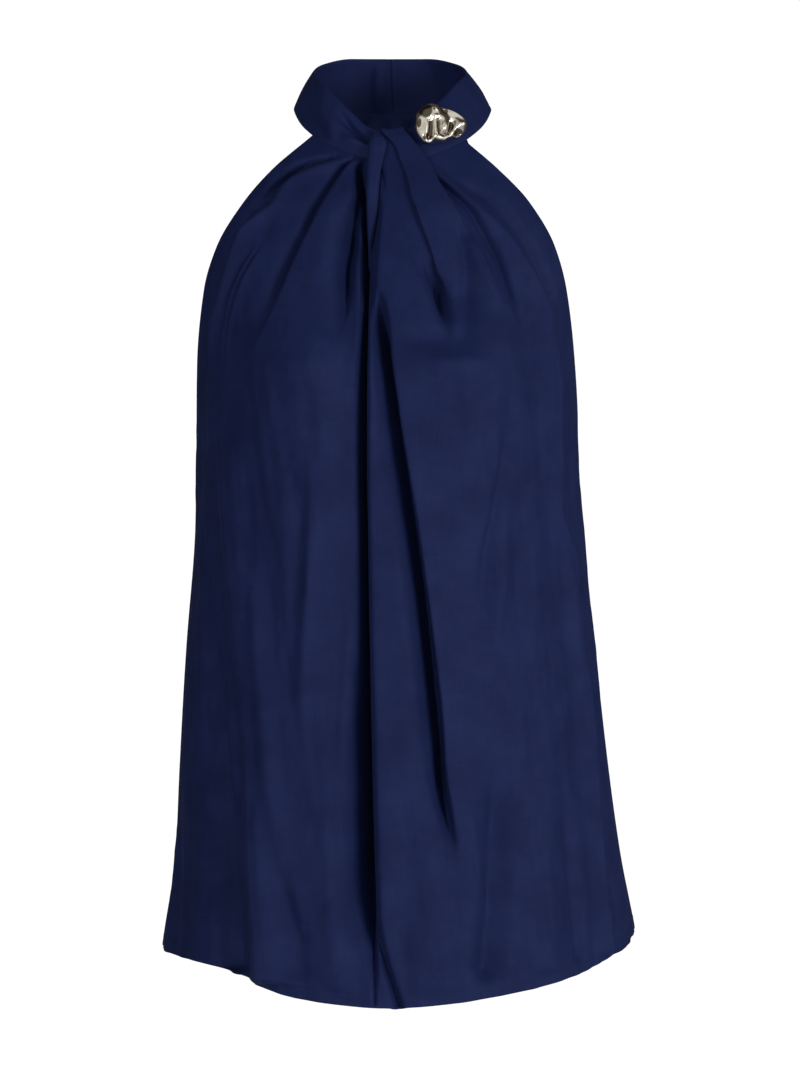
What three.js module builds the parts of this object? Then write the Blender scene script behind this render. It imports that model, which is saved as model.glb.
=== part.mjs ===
// A sleeveless halter neck top of navy satin cloth with a twisted knot at the neck and a moulded metal button.
// It keeps the hollow form that it has when it is worn, with nobody inside.
// Millimetres, +Z up, +X to the right as seen from the front, and the front faces -Y.
// The origin is on the neck's axis, level with the neckband's seam at the nape, where the neck holds the top.
import * as THREE from 'three';
import { mergeVertices } from 'three/addons/utils/BufferGeometryUtils.js';

// Cloth and seams
const PANEL_CLOTH = 1.5;
const BAND_CLOTH = 2.4;
const SEAM_GAP = 0.3;
const NECK_SEAM_GAP = 0.5;
const SIDE_SEAM_Y = 8;

// Heights of the main levels
const UNDERARM_Z = -255;

// The neckband, an oval ring at its lower and at its upper edge
const LOWER_RING = { centre: 3.5, half: 75.5, depth: 62 };
const UPPER_RING = { centre: 1.5, half: 58, depth: 52 };
const BAND_BULGE = 1.5;
const BAND_LEAN = 0.35;
const BAND_MEET = -7;
const BAND_ENDS_APART = 0.25;

// Angles round the neck, in degrees from the centre front, where the panels' top corners are sewn
const FRONT_CORNERS = { left: -53, seam: -15, right: 46 };
const BACK_CORNER = 135;

const NAVY = 0x1c2347;
const NAVY_BAND = 0x1f264c;
const METAL = 0xb9b6ac;

// Half widths, side or armhole edge, centre depth and angle of turn of the front, level by level
const FRONT_LEVELS = [
  { z: -700, left: 178, right: 196, edge: SIDE_SEAM_Y, centre: -139, turn: 90 },
  { z: -640, left: 172, right: 190, edge: SIDE_SEAM_Y, centre: -136, turn: 90 },
  { z: -570, left: 162, right: 177, edge: SIDE_SEAM_Y, centre: -131, turn: 90 },
  { z: -505, left: 159, right: 168, edge: SIDE_SEAM_Y, centre: -127, turn: 90 },
  { z: -415, left: 154, right: 158, edge: SIDE_SEAM_Y, centre: -123, turn: 90 },
  { z: -325, left: 147, right: 149, edge: SIDE_SEAM_Y, centre: -121, turn: 90 },
  { z: UNDERARM_Z, left: 145, right: 144, edge: SIDE_SEAM_Y, centre: -119, turn: 90 },
  { z: -250, left: 144.5, right: 143.5, edge: -5, centre: -119, turn: 84 },
  { z: -238, left: 144.3, right: 142.6, edge: -11, centre: -118.5, turn: 81 },
  { z: -200, left: 144, right: 141, edge: -16, centre: -116, turn: 79 },
  { z: -144, left: 138, right: 134, edge: -35, centre: -104, turn: 70 },
  { z: -112, left: 128, right: 125, edge: -43, centre: -94, turn: 67 },
  { z: -81, left: 109, right: 107, edge: -47, centre: -82, turn: 64 },
  { z: -55, left: 87, right: 84, edge: -46, centre: -69, turn: 62 },
  { z: -28, left: 57, right: 55, edge: -38, centre: -58, turn: 60 },
];

// The same columns for the back
const BACK_LEVELS = [
  { z: -700, left: 178, right: 196, edge: SIDE_SEAM_Y, centre: 119, turn: 90 },
  { z: -640, left: 172, right: 190, edge: SIDE_SEAM_Y, centre: 115, turn: 90 },
  { z: -570, left: 162, right: 177, edge: SIDE_SEAM_Y, centre: 109, turn: 90 },
  { z: -505, left: 159, right: 168, edge: SIDE_SEAM_Y, centre: 104, turn: 90 },
  { z: -415, left: 154, right: 158, edge: SIDE_SEAM_Y, centre: 98, turn: 90 },
  { z: -325, left: 147, right: 149, edge: SIDE_SEAM_Y, centre: 96, turn: 90 },
  { z: UNDERARM_Z, left: 145, right: 144, edge: SIDE_SEAM_Y, centre: 98, turn: 90 },
  { z: -250, left: 143.5, right: 142.5, edge: 21, centre: 98, turn: 82 },
  { z: -238, left: 141.4, right: 140.4, edge: 28, centre: 98.5, turn: 78 },
  { z: -200, left: 137, right: 135, edge: 37, centre: 100, turn: 76 },
  { z: -150, left: 125, right: 123, edge: 50, centre: 98, turn: 73 },
  { z: -110, left: 108, right: 107, edge: 60, centre: 93, turn: 69 },
  { z: -75, left: 90, right: 91, edge: 63, centre: 85, turn: 66 },
  { z: -45, left: 71, right: 75, edge: 60, centre: 76, turn: 63 },
  { z: -20, left: 56, right: 61, edge: 51, centre: 68, turn: 61 },
  { z: -4, left: 50, right: 57, edge: 44, centre: 62, turn: 60 },
];

// The hem's height by the angle from the centre front and from the centre back
const FRONT_HEM = [
  { turn: -90, z: -640 },
  { turn: -55, z: -643 },
  { turn: -35, z: -653 },
  { turn: -15, z: -666 },
  { turn: 0, z: -669 },
  { turn: 30, z: -660 },
  { turn: 60, z: -642 },
  { turn: 90, z: -625 },
];
const BACK_HEM = [
  { turn: -90, z: -640 },
  { turn: -45, z: -652 },
  { turn: 0, z: -659 },
  { turn: 45, z: -650 },
  { turn: 90, z: -625 },
];

// The neckband's edges by the angle round the neck, from the centre front to the nape
const BAND_EDGES = [
  { turn: 0, lower: -50, upper: -26 },
  { turn: 15, lower: -48.5, upper: -23 },
  { turn: 30, lower: -42, upper: -11.5 },
  { turn: 45, lower: -34, upper: 1 },
  { turn: 60, lower: -24, upper: 12 },
  { turn: 90, lower: -5, upper: 24 },
  { turn: 120, lower: -1, upper: 33 },
  { turn: 180, lower: 0, upper: 41 },
];

// The centre front seam: its x by height
const CENTRE_SEAM = [
  { z: -670, x: -9 },
  { z: -490, x: -12.5 },
  { z: -330, x: -16 },
  { z: -130, x: -15 },
  { z: -48, x: -16 },
];

// The two soft swells over the bust, which the straight cut and the gathers give
const SWELLS = [
  { x: -66, z: -196, rise: 13, across: 42, above: 48, below: 120 },
  { x: 66, z: -196, rise: 13, across: 42, above: 48, below: 120 },
];

// The folds of the front. Each runs through four stations, [x, z] as seen from the front.
// rise is how far it stands out (a valley's is negative), left and right are the widths of its two flanks,
// and start and end are the lengths over which it starts and dies.
const FRONT_FOLDS = [
  { at: [[-16, -50], [-15, -200], [-14, -430], [-9, -668]], rise: -15, left: 9, right: 7, start: 6, end: 60 },
  { at: [[-40, -330], [-36, -450], [-30, -560], [-22, -660]], rise: -5, left: 16, right: 14, start: 120, end: 90 },
  { at: [[-12, -120], [6, -230], [26, -370], [50, -560]], rise: -10, left: 12, right: 8, start: 90, end: 120 },
  { at: [[5, -50], [18, -84], [27, -126], [43, -178]], rise: -8, left: 4, right: 7, start: 14, end: 50 },
  { at: [[44, -76], [51, -100], [58, -140], [53, -200]], rise: -4, left: 8, right: 8, start: 30, end: 40 },
  { at: [[42, -58], [70, -90], [88, -120], [98, -175]], rise: -4, left: 8, right: 7, start: 18, end: 50 },
  { at: [[28, -48], [55, -96], [76, -140], [99, -182]], rise: 4, left: 15, right: 4, start: 10, end: 50 },
  { at: [[46, -50], [88, -104], [117, -160], [124, -230]], rise: 6, left: 9, right: 9, start: 14, end: 40 },
  { at: [[124, -190], [124, -310], [141, -401], [164, -640]], rise: 7, left: 11, right: 9, start: 50, end: 6 },
  { at: [[150, -380], [161, -455], [170, -545], [178, -625]], rise: -6, left: 9, right: 12, start: 60, end: 6 },
  { at: [[83, -250], [77, -310], [72, -350], [69, -385]], rise: -3, left: 6, right: 7, start: 40, end: 40 },
  { at: [[84, -480], [79, -550], [75, -600], [70, -655]], rise: -5, left: 12, right: 13, start: 80, end: 20 },
  { at: [[-30, -47], [-46, -81], [-68, -126], [-95, -182]], rise: -8, left: 10, right: 5, start: 6, end: 46 },
  { at: [[-17, -56], [-24, -97], [-30, -138], [-35, -190]], rise: -9, left: 7, right: 6, start: 16, end: 60 },
  { at: [[-45, -40], [-76, -62], [-108, -100], [-134, -180]], rise: 6, left: 6, right: 13, start: 8, end: 60 },
  { at: [[-98, -112], [-108, -133], [-115, -155], [-122, -185]], rise: 3, left: 5, right: 10, start: 30, end: 40 },
  { at: [[-125, -230], [-120, -344], [-109, -520], [-99, -655]], rise: 8, left: 13, right: 24, start: 90, end: 4 },
  { at: [[-134, -400], [-129, -480], [-122, -560], [-116, -645]], rise: -11, left: 22, right: 14, start: 120, end: 4 },
  { at: [[-98, -344], [-91, -444], [-75, -555], [-52, -635]], rise: 4, left: 10, right: 12, start: 80, end: 60 },
  { at: [[-66, -250], [-62, -311], [-64, -355], [-70, -410]], rise: -4, left: 8, right: 8, start: 60, end: 60 },
];

// The folds of the back, which hang from the shoulder blades, with x as seen from the front
const BACK_FOLDS = [
  { at: [[-18, -6], [-34, -60], [-60, -130], [-88, -215]], rise: -3.5, left: 7, right: 7, start: 8, end: 90 },
  { at: [[20, -6], [36, -60], [58, -125], [80, -205]], rise: -3.5, left: 7, right: 7, start: 8, end: 90 },
  { at: [[-8, -200], [-12, -360], [-16, -510], [-20, -662]], rise: -9, left: 13, right: 12, start: 200, end: 4 },
  { at: [[-62, -260], [-70, -400], [-78, -530], [-86, -655]], rise: 8, left: 16, right: 18, start: 200, end: 4 },
  { at: [[-104, -300], [-112, -420], [-122, -540], [-130, -645]], rise: -7, left: 12, right: 14, start: 150, end: 4 },
  { at: [[42, -240], [46, -380], [50, -520], [54, -658]], rise: 8, left: 17, right: 16, start: 200, end: 4 },
  { at: [[92, -280], [100, -410], [108, -540], [114, -645]], rise: -8, left: 14, right: 14, start: 170, end: 4 },
  { at: [[128, -340], [136, -440], [146, -540], [154, -632]], rise: 5, left: 11, right: 12, start: 140, end: 4 },
];

// The share of a panel next to the side seam or armhole over which its folds die, so that the seams meet
const EDGE_CALM = 0.07;
// The height below the neck seam over which a panel is drawn in to the neckband
const DRAW_IN = 0.075;

// The flap of the knot, which crosses the neckband and dies on the right front. Its left and right edges are
// shares of the right front's width. level is -1 at its foot, 0 at the neck seam and 1 at the neckband's top.
const FLAP_EDGES = [
  { level: -1, left: 0.2, right: 0.4 },
  { level: 0, left: 0.26, right: 0.52 },
  { level: 1, left: 0.15, right: 0.43 },
];
const FLAP = { reach: 0.044, cloth: 1.5, out: 1.8, relief: 1.6 };

// The strand of the knot, a narrow roll of cloth that goes over the neckband and down the centre seam.
// out is how far its middle lies in front of the cloth behind it.
const STRAND = [
  { x: -8.5, z: -30, out: -9, half: 3.2, thick: 1.5 },
  { x: -8.5, z: -22.5, out: -5.5, half: 3.6, thick: 1.6 },
  { x: -9, z: -22, out: 0.5, half: 4, thick: 1.8 },
  { x: -9.5, z: -31, out: 4, half: 4.4, thick: 2.2 },
  { x: -11, z: -46, out: 3.6, half: 4.7, thick: 2.4 },
  { x: -12.5, z: -64, out: 4.2, half: 4.6, thick: 2.4 },
  { x: -13.5, z: -90, out: 4, half: 4.1, thick: 2.2 },
  { x: -13.5, z: -118, out: 2.6, half: 3.2, thick: 1.8 },
  { x: -13.5, z: -146, out: -0.5, half: 2, thick: 1.2 },
];
const STRAND_TURN = -8;
const STRAND_SIDES = 12;
const STRAND_STEPS = 26;

// The button, a pebble of polished metal on a shank, on the right half of the neckband
const BUTTON = { turn: 31, share: 0.5, wide: 38, high: 31, deep: 12, stand: 3.4, roll: -14, flatness: 0.45 };
// The lobes of its outline: how many, how deep and where they start
const BUTTON_LOBES = [
  { count: 2, depth: 0.05, start: -0.6 },
  { count: 3, depth: 0.035, start: 0.9 },
];
// How far its face stands in front of its rim; the rest of its depth is behind the rim
const BUTTON_FRONT = BUTTON.deep / (1 + BUTTON.flatness);
const BUTTON_FACES = 5;
const BUTTON_DENTS = [
  { x: -0.55, y: 0.45, size: 0.34, sink: 0.28 },
  { x: 0.12, y: -0.1, size: 0.3, sink: 0.34 },
  { x: -0.3, y: -0.45, size: 0.26, sink: 0.18 },
  { x: 0.45, y: 0.55, size: 0.3, sink: 0.22 },
  { x: 0.75, y: -0.3, size: 0.3, sink: 0.2 },
  { x: -0.85, y: -0.15, size: 0.22, sink: 0.14 },
];
const SHANK = { radius: 3.2, sides: 20 };

// How finely each piece is divided
const COLUMN_CROWD = 1.2;
const FRONT_GRID = { left: 21, right: 23, up: 42 };
const BACK_GRID = { across: 24, up: 28 };
const BAND_GRID = { along: 36, up: 3 };
const FLAP_GRID = { across: 8, down: 8 };

const radians = THREE.MathUtils.degToRad;
const mix = THREE.MathUtils.lerp;
const ease = (value) => THREE.MathUtils.smoothstep(value, 0, 1);

// One column of a table at a place, on a smooth curve through the rows that never overshoots them.
function column(rows, place, key, at) {
  const last = rows.length - 1;
  const rising = rows[last][place] > rows[0][place];
  const where = (i) => (rising ? rows[i][place] : -rows[i][place]);
  const wanted = THREE.MathUtils.clamp(rising ? at : -at, where(0), where(last));
  let i = 0;
  while (i < last - 1 && wanted > where(i + 1)) i += 1;
  const secant = (k) => (rows[k + 1][key] - rows[k][key]) / (where(k + 1) - where(k));
  const slope = (k) => {
    if (k === 0 || k === last) return secant(Math.min(k, last - 1));
    const [before, after] = [secant(k - 1), secant(k)];
    return before * after > 0 ? (2 * before * after) / (before + after) : 0;
  };
  const span = where(i + 1) - where(i);
  const t = (wanted - where(i)) / span;
  const rise = rows[i + 1][key] - rows[i][key];
  const bend = (t - 1) * slope(i) * span + t * slope(i + 1) * span;
  return rows[i][key] + rise * t * t * (3 - 2 * t) + t * (t - 1) * bend;
}

// A level of the front or back: the place and the outward direction at a share from -1 to 1 across it.
function sectionAt(levels, share, z, outward) {
  const turn = radians(column(levels, 'z', 'turn', z));
  const half = column(levels, 'z', share < 0 ? 'left' : 'right', z);
  const edge = column(levels, 'z', 'edge', z) + (outward * SEAM_GAP) / 2;
  const centre = column(levels, 'z', 'centre', z);
  const angle = share * turn;
  const point = new THREE.Vector3(
    (half * Math.sin(angle)) / Math.sin(turn),
    centre + ((edge - centre) * (1 - Math.cos(angle))) / (1 - Math.cos(turn)),
    z,
  );
  const alongX = (half * Math.cos(angle)) / Math.sin(turn);
  const alongY = ((edge - centre) * Math.sin(angle)) / (1 - Math.cos(turn));
  const out = new THREE.Vector3(-outward * alongY, outward * alongX, 0).normalize();
  return { point, out, girth: (angle * half) / Math.sin(turn) };
}

// The share across a level at which the cloth has this x, and the distance round the cloth to it.
function shareOfX(levels, x, z) {
  const turn = radians(column(levels, 'z', 'turn', z));
  const half = column(levels, 'z', x < 0 ? 'left' : 'right', z);
  const sine = THREE.MathUtils.clamp((x * Math.sin(turn)) / half, -1, 1);
  return Math.asin(sine) / turn;
}
const girthOfX = (levels, x, z) => sectionAt(levels, shareOfX(levels, x, z), z, 1).girth;

// How far the folds move the cloth out at a place, measured round the cloth from the centre.
function foldRise(levels, folds, girth, z) {
  let rise = 0;
  for (const fold of folds) {
    const top = fold.at[0][1];
    const foot = fold.at[3][1];
    if (z > top || z < foot) continue;
    const stations = fold.at.map(([x, height]) => ({ z: height, girth: girthOfX(levels, x, height) }));
    const middle = column(stations, 'z', 'girth', z);
    const lower = column(stations, 'z', 'girth', Math.max(z - 5, foot));
    const slant = Math.cos(Math.atan2(middle - lower, 5));
    const across = (girth - middle) * slant;
    const width = across < 0 ? fold.left : fold.right;
    const fade = ease((top - z) / fold.start) * ease((z - foot) / fold.end);
    rise += fold.rise * fade * Math.exp(-((across / width) ** 2));
  }
  return rise;
}

function swellRise(x, z) {
  let rise = 0;
  for (const swell of SWELLS) {
    const down = z > swell.z ? swell.above : swell.below;
    rise += swell.rise * Math.exp(-(((x - swell.x) / swell.across) ** 2) - ((z - swell.z) / down) ** 2);
  }
  return rise;
}

// The neckband's face: an angle round the neck and a share from its lower to its upper edge.
function bandPoint(degrees, share) {
  const angle = radians(degrees);
  const turn = Math.abs(degrees);
  const ringPoint = (ring, edge) => new THREE.Vector3(
    ring.centre + ring.half * Math.sin(angle),
    -ring.depth * Math.cos(angle),
    column(BAND_EDGES, 'turn', edge, turn),
  );
  const point = ringPoint(LOWER_RING, 'lower').lerp(ringPoint(UPPER_RING, 'upper'), share);
  const outward = new THREE.Vector3(Math.sin(angle), -Math.cos(angle), BAND_LEAN).normalize();
  return point.addScaledVector(outward, BAND_BULGE * Math.sin(Math.PI * share));
}

// The neckband's outward direction at a point of the neck seam.
function bandOutward(point) {
  const across = (point.x - LOWER_RING.centre) / LOWER_RING.half;
  const degrees = THREE.MathUtils.radToDeg(Math.atan2(across, -point.y / LOWER_RING.depth));
  const along = bandPoint(degrees + 1, 0).sub(bandPoint(degrees - 1, 0));
  return along.cross(bandPoint(degrees, 0.1).sub(bandPoint(degrees, 0))).normalize();
}

// The outer face of the front at a share across and a height, with its folds and swells.
function frontFace(share, z) {
  const section = sectionAt(FRONT_LEVELS, share, z, -1);
  const calm = ease((1 - Math.abs(share)) / EDGE_CALM);
  const rise = foldRise(FRONT_LEVELS, FRONT_FOLDS, section.girth, z) * calm + swellRise(section.point.x, z);
  return section.point.addScaledVector(section.out, rise);
}

function backFace(share, z) {
  const section = sectionAt(BACK_LEVELS, share, z, 1);
  const calm = ease((1 - Math.abs(share)) / EDGE_CALM);
  return section.point.addScaledVector(section.out, foldRise(BACK_LEVELS, BACK_FOLDS, section.girth, z) * calm);
}

// A place on the neck seam, a little below the neckband's lower edge.
function neckSeam(degrees) {
  const point = bandPoint(degrees, 0);
  point.z -= NECK_SEAM_GAP;
  return point;
}

// A panel's point: up runs from the hem to the neck seam, and the last stretch is drawn in to the neckband.
function panelPoint(face, hem, share, up, degrees) {
  const seam = neckSeam(degrees);
  const hemZ = column(hem, 'turn', 'z', share * 90);
  const point = face(share, mix(hemZ, seam.z, up));
  const drawn = ease((up - 1 + DRAW_IN) / DRAW_IN);
  return point.addScaledVector(seam.sub(face(share, seam.z)), drawn);
}

// The direction of a line of points at one of them, exact to the second order at its ends too.
function slopeAlong(line, i) {
  const last = line.length - 1;
  if (i > 0 && i < last) return line[i + 1].clone().sub(line[i - 1]);
  const inward = i === 0 ? 1 : -1;
  const [near, next, far] = [0, 1, 2].map((k) => line[i + k * inward]);
  return near.clone().multiplyScalar(-3).addScaledVector(next, 4).sub(far).multiplyScalar(inward);
}

// A closed wall of cloth: an outer face through a grid of points, an inner face behind it, and a rim all round.
// topDirection gives the outward direction along the top edge where that edge is sewn to another piece.
function wall(grid, thicknessAt, topDirection = null) {
  const rows = grid.length;
  const columns = grid[0].length;
  const outer = grid.flat();
  const inner = [];
  for (let j = 0; j < rows; j += 1) {
    const row = grid[j];
    for (let i = 0; i < columns; i += 1) {
      const upward = grid.map((line) => line[i]);
      const sewn = topDirection && j === rows - 1;
      const normal = sewn ? topDirection(row[i]) : slopeAlong(row, i).cross(slopeAlong(upward, j)).normalize();
      // On a side seam the edge of the wall is square to the seam.
      if (Math.abs(grid[j][i].y - SIDE_SEAM_Y) < SEAM_GAP) normal.setY(0).normalize();
      inner.push(grid[j][i].clone().addScaledVector(normal, -thicknessAt(j / (rows - 1))));
    }
  }
  const faces = [];
  const at = (j, i) => j * columns + i;
  const behind = (j, i) => rows * columns + at(j, i);
  const quad = (a, b, c, d) => faces.push(a, b, c, a, c, d);
  for (let j = 0; j < rows - 1; j += 1) {
    for (let i = 0; i < columns - 1; i += 1) {
      quad(at(j, i), at(j, i + 1), at(j + 1, i + 1), at(j + 1, i));
      quad(behind(j, i), behind(j + 1, i), behind(j + 1, i + 1), behind(j, i + 1));
    }
  }
  for (let i = 0; i < columns - 1; i += 1) {
    quad(at(0, i), behind(0, i), behind(0, i + 1), at(0, i + 1));
    quad(at(rows - 1, i), at(rows - 1, i + 1), behind(rows - 1, i + 1), behind(rows - 1, i));
  }
  for (let j = 0; j < rows - 1; j += 1) {
    quad(at(j, 0), at(j + 1, 0), behind(j + 1, 0), behind(j, 0));
    quad(at(j, columns - 1), behind(j, columns - 1), behind(j + 1, columns - 1), at(j + 1, columns - 1));
  }
  return meshGeometry([...outer, ...inner], faces);
}

function meshGeometry(points, faces) {
  const geometry = new THREE.BufferGeometry();
  geometry.setAttribute('position', new THREE.Float32BufferAttribute(points.flatMap((p) => p.toArray()), 3));
  geometry.setIndex(faces);
  geometry.computeVertexNormals();
  return geometry;
}

// A grid of points from a function of two shares, each from 0 to 1: across first, then up.
function gridOf(across, up, pointAt) {
  return Array.from({ length: up + 1 }, (_, j) => Array.from(
    { length: across + 1 },
    (__, i) => pointAt(i / across, j / up),
  ));
}

function clothMaterial(colour) {
  return new THREE.MeshStandardMaterial({ color: colour, roughness: 0.5, metalness: 0 });
}

const top = new THREE.Group();
function addPiece(name, geometry, material) {
  const mesh = new THREE.Mesh(geometry, material);
  mesh.name = name;
  top.add(mesh);
  return mesh;
}

// A point of one half of the front. side is -1 for the half on -X. fromSeam runs from the centre seam outward.
function frontPoint(side, fromSeam, up) {
  const corner = side < 0 ? FRONT_CORNERS.left : FRONT_CORNERS.right;
  const degrees = mix(FRONT_CORNERS.seam + (side * SEAM_GAP) / 2, corner, fromSeam);
  const roughZ = mix(FRONT_HEM[4].z, neckSeam(degrees).z, up);
  const seamX = column(CENTRE_SEAM, 'z', 'x', roughZ) + (side * SEAM_GAP) / 2;
  const seamShare = shareOfX(FRONT_LEVELS, seamX, roughZ);
  return panelPoint(frontFace, FRONT_HEM, mix(seamShare, side, fromSeam), up, degrees);
}

// The columns are closer together near the centre seam.
function frontHalf(side) {
  const across = side < 0 ? FRONT_GRID.left : FRONT_GRID.right;
  return gridOf(across, FRONT_GRID.up, (i, up) => frontPoint(side, (side < 0 ? 1 - i : i) ** COLUMN_CROWD, up));
}

function backPanel() {
  return gridOf(BACK_GRID.across, BACK_GRID.up, (i, up) => {
    const share = 1 - 2 * i;
    const degrees = Math.sign(share) * mix(180, BACK_CORNER, Math.abs(share));
    return panelPoint(backFace, BACK_HEM, share, up, degrees || 180);
  });
}

function bandHalf(side) {
  const nape = 180 - SEAM_GAP / 2;
  const front = BAND_MEET + side * BAND_ENDS_APART;
  const from = side < 0 ? -nape : front;
  const to = side < 0 ? front : nape;
  return gridOf(BAND_GRID.along, BAND_GRID.up, (i, up) => bandPoint(mix(from, to, i), up));
}

// The flap lies on the neckband at its top and on the right front below, moved out from their points.
function flapSheet() {
  return gridOf(FLAP_GRID.across, FLAP_GRID.down, (i, up) => {
    const level = 2 * up - 1;
    const [left, right] = ['left', 'right'].map((edge) => column(FLAP_EDGES, 'level', edge, level));
    const share = mix(left, right, i);
    const degrees = mix(FRONT_CORNERS.seam, FRONT_CORNERS.right, share);
    const bed = level < 0 ? frontPoint(1, share, 1 + level * FLAP.reach) : bandPoint(degrees, level);
    const away = SEAM_GAP + FLAP.cloth + FLAP.out + FLAP.relief * Math.sin(Math.PI * i);
    return bed.addScaledVector(bandOutward(neckSeam(degrees)), away);
  });
}

// The strand: rings round a smooth line, each an oval of its own size, closed at both ends.
function strandRoll() {
  const [lower, upper] = [bandPoint(STRAND_TURN, 0), bandPoint(STRAND_TURN, 1)];
  const middle = STRAND.map(({ x, z, out }) => {
    const share = THREE.MathUtils.clamp((z - lower.z) / (upper.z - lower.z), 0, 1);
    const onBand = bandPoint(STRAND_TURN, share).y;
    const onFront = sectionAt(FRONT_LEVELS, shareOfX(FRONT_LEVELS, x, z), z, -1).point.y;
    return new THREE.Vector3(x, (z > lower.z ? onBand : onFront) - out, z);
  });
  const line = new THREE.CatmullRomCurve3(middle, false, 'centripetal');
  const rows = STRAND.map((row, i) => ({ ...row, i }));
  const points = [];
  for (let s = 0; s <= STRAND_STEPS; s += 1) {
    const t = s / STRAND_STEPS;
    const centre = line.getPoint(t);
    const along = line.getTangent(t);
    const side = new THREE.Vector3(1, 0, 0).addScaledVector(along, -along.x).normalize();
    const out = side.clone().cross(along).normalize();
    const half = column(rows, 'i', 'half', t * (rows.length - 1));
    const thick = column(rows, 'i', 'thick', t * (rows.length - 1));
    for (let k = 0; k < STRAND_SIDES; k += 1) {
      const angle = (2 * Math.PI * k) / STRAND_SIDES;
      points.push(centre.clone()
        .addScaledVector(side, half * Math.cos(angle))
        .addScaledVector(out, thick * Math.sin(angle)));
    }
  }
  const faces = [];
  for (let s = 0; s < STRAND_STEPS; s += 1) {
    for (let k = 0; k < STRAND_SIDES; k += 1) {
      const next = (k + 1) % STRAND_SIDES;
      const [a, b] = [s * STRAND_SIDES + k, s * STRAND_SIDES + next];
      const [c, d] = [a + STRAND_SIDES, b + STRAND_SIDES];
      faces.push(a, d, b, a, c, d);
    }
  }
  const lastRing = STRAND_STEPS * STRAND_SIDES;
  for (let k = 1; k < STRAND_SIDES - 1; k += 1) {
    faces.push(0, k, k + 1, lastRing, lastRing + k + 1, lastRing + k);
  }
  return meshGeometry(points, faces);
}

// Where the button sits on the neckband: a frame with its face along the frame's +Z.
function buttonFrame() {
  const seat = bandPoint(BUTTON.turn, BUTTON.share);
  const along = bandPoint(BUTTON.turn + 2, BUTTON.share).sub(seat).normalize();
  const up = bandPoint(BUTTON.turn, BUTTON.share + 0.1).sub(seat).normalize();
  const out = along.clone().cross(up).normalize();
  const turned = new THREE.Matrix4().makeBasis(along, out.clone().cross(along), out);
  return { seat, out, turned };
}

// The button: a pebble with dents in its face, flatter behind.
function buttonPebble() {
  const ball = new THREE.IcosahedronGeometry(1, BUTTON_FACES);
  ball.deleteAttribute('normal');
  ball.deleteAttribute('uv');
  const pebble = mergeVertices(ball, 1e-4);
  const place = pebble.getAttribute('position');
  for (let k = 0; k < place.count; k += 1) {
    const [x, y, z] = [place.getX(k), place.getY(k), place.getZ(k)];
    const angle = Math.atan2(y, x);
    const outline = BUTTON_LOBES.reduce(
      (sum, lobe) => sum + lobe.depth * Math.cos(lobe.count * angle + lobe.start),
      1,
    );
    let face = z > 0 ? z : z * BUTTON.flatness;
    for (const dent of BUTTON_DENTS) {
      const away = ((x - dent.x) ** 2 + (y - dent.y) ** 2) / dent.size ** 2;
      if (z > 0) face -= dent.sink * z * Math.exp(-away);
    }
    place.setXYZ(k, (x * outline * BUTTON.wide) / 2, (y * outline * BUTTON.high) / 2, face * BUTTON_FRONT);
  }
  pebble.rotateZ(radians(BUTTON.roll));
  pebble.computeVertexNormals();
  return pebble;
}

addPiece('front_left', wall(frontHalf(-1), () => PANEL_CLOTH, bandOutward), clothMaterial(NAVY));
addPiece('front_right', wall(frontHalf(1), () => PANEL_CLOTH, bandOutward), clothMaterial(NAVY));
addPiece('back', wall(backPanel(), () => PANEL_CLOTH, bandOutward), clothMaterial(NAVY));
addPiece('neckband_left', wall(bandHalf(-1), () => BAND_CLOTH), clothMaterial(NAVY_BAND));
addPiece('neckband_right', wall(bandHalf(1), () => BAND_CLOTH), clothMaterial(NAVY_BAND));
addPiece('knot_flap', wall(flapSheet(), () => FLAP.cloth), clothMaterial(NAVY_BAND));
addPiece('knot_strand', strandRoll(), clothMaterial(NAVY_BAND));

const metal = new THREE.MeshStandardMaterial({ color: METAL, roughness: 0.12, metalness: 1 });
const { seat, out, turned } = buttonFrame();
const button = addPiece('button', buttonPebble(), metal);
button.quaternion.setFromRotationMatrix(turned);
button.position.copy(seat).addScaledVector(out, BUTTON.stand + BUTTON.deep - BUTTON_FRONT);

const shankLength = BUTTON.stand - 2 * SEAM_GAP;
const shankPost = new THREE.CylinderGeometry(SHANK.radius, SHANK.radius, shankLength, SHANK.sides);
const shank = addPiece('button_shank', shankPost, metal);
shank.geometry.rotateX(Math.PI / 2);
shank.quaternion.copy(button.quaternion);
shank.position.copy(seat).addScaledVector(out, SEAM_GAP + shankLength / 2);

export default top;
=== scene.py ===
# %% [markdown]
# # A halter neck top in sandwashed satin
# The real top is cut from a soft navy satin: two fronts gathered into a stand-up neckband, a back, and
# a knot of twisted cloth at the throat. It is shown filled out, as it hangs when it is worn. The packed
# solids give the frame, and this lesson dresses them with thin sheets of cloth.

# %% Load the frame
import math

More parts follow.
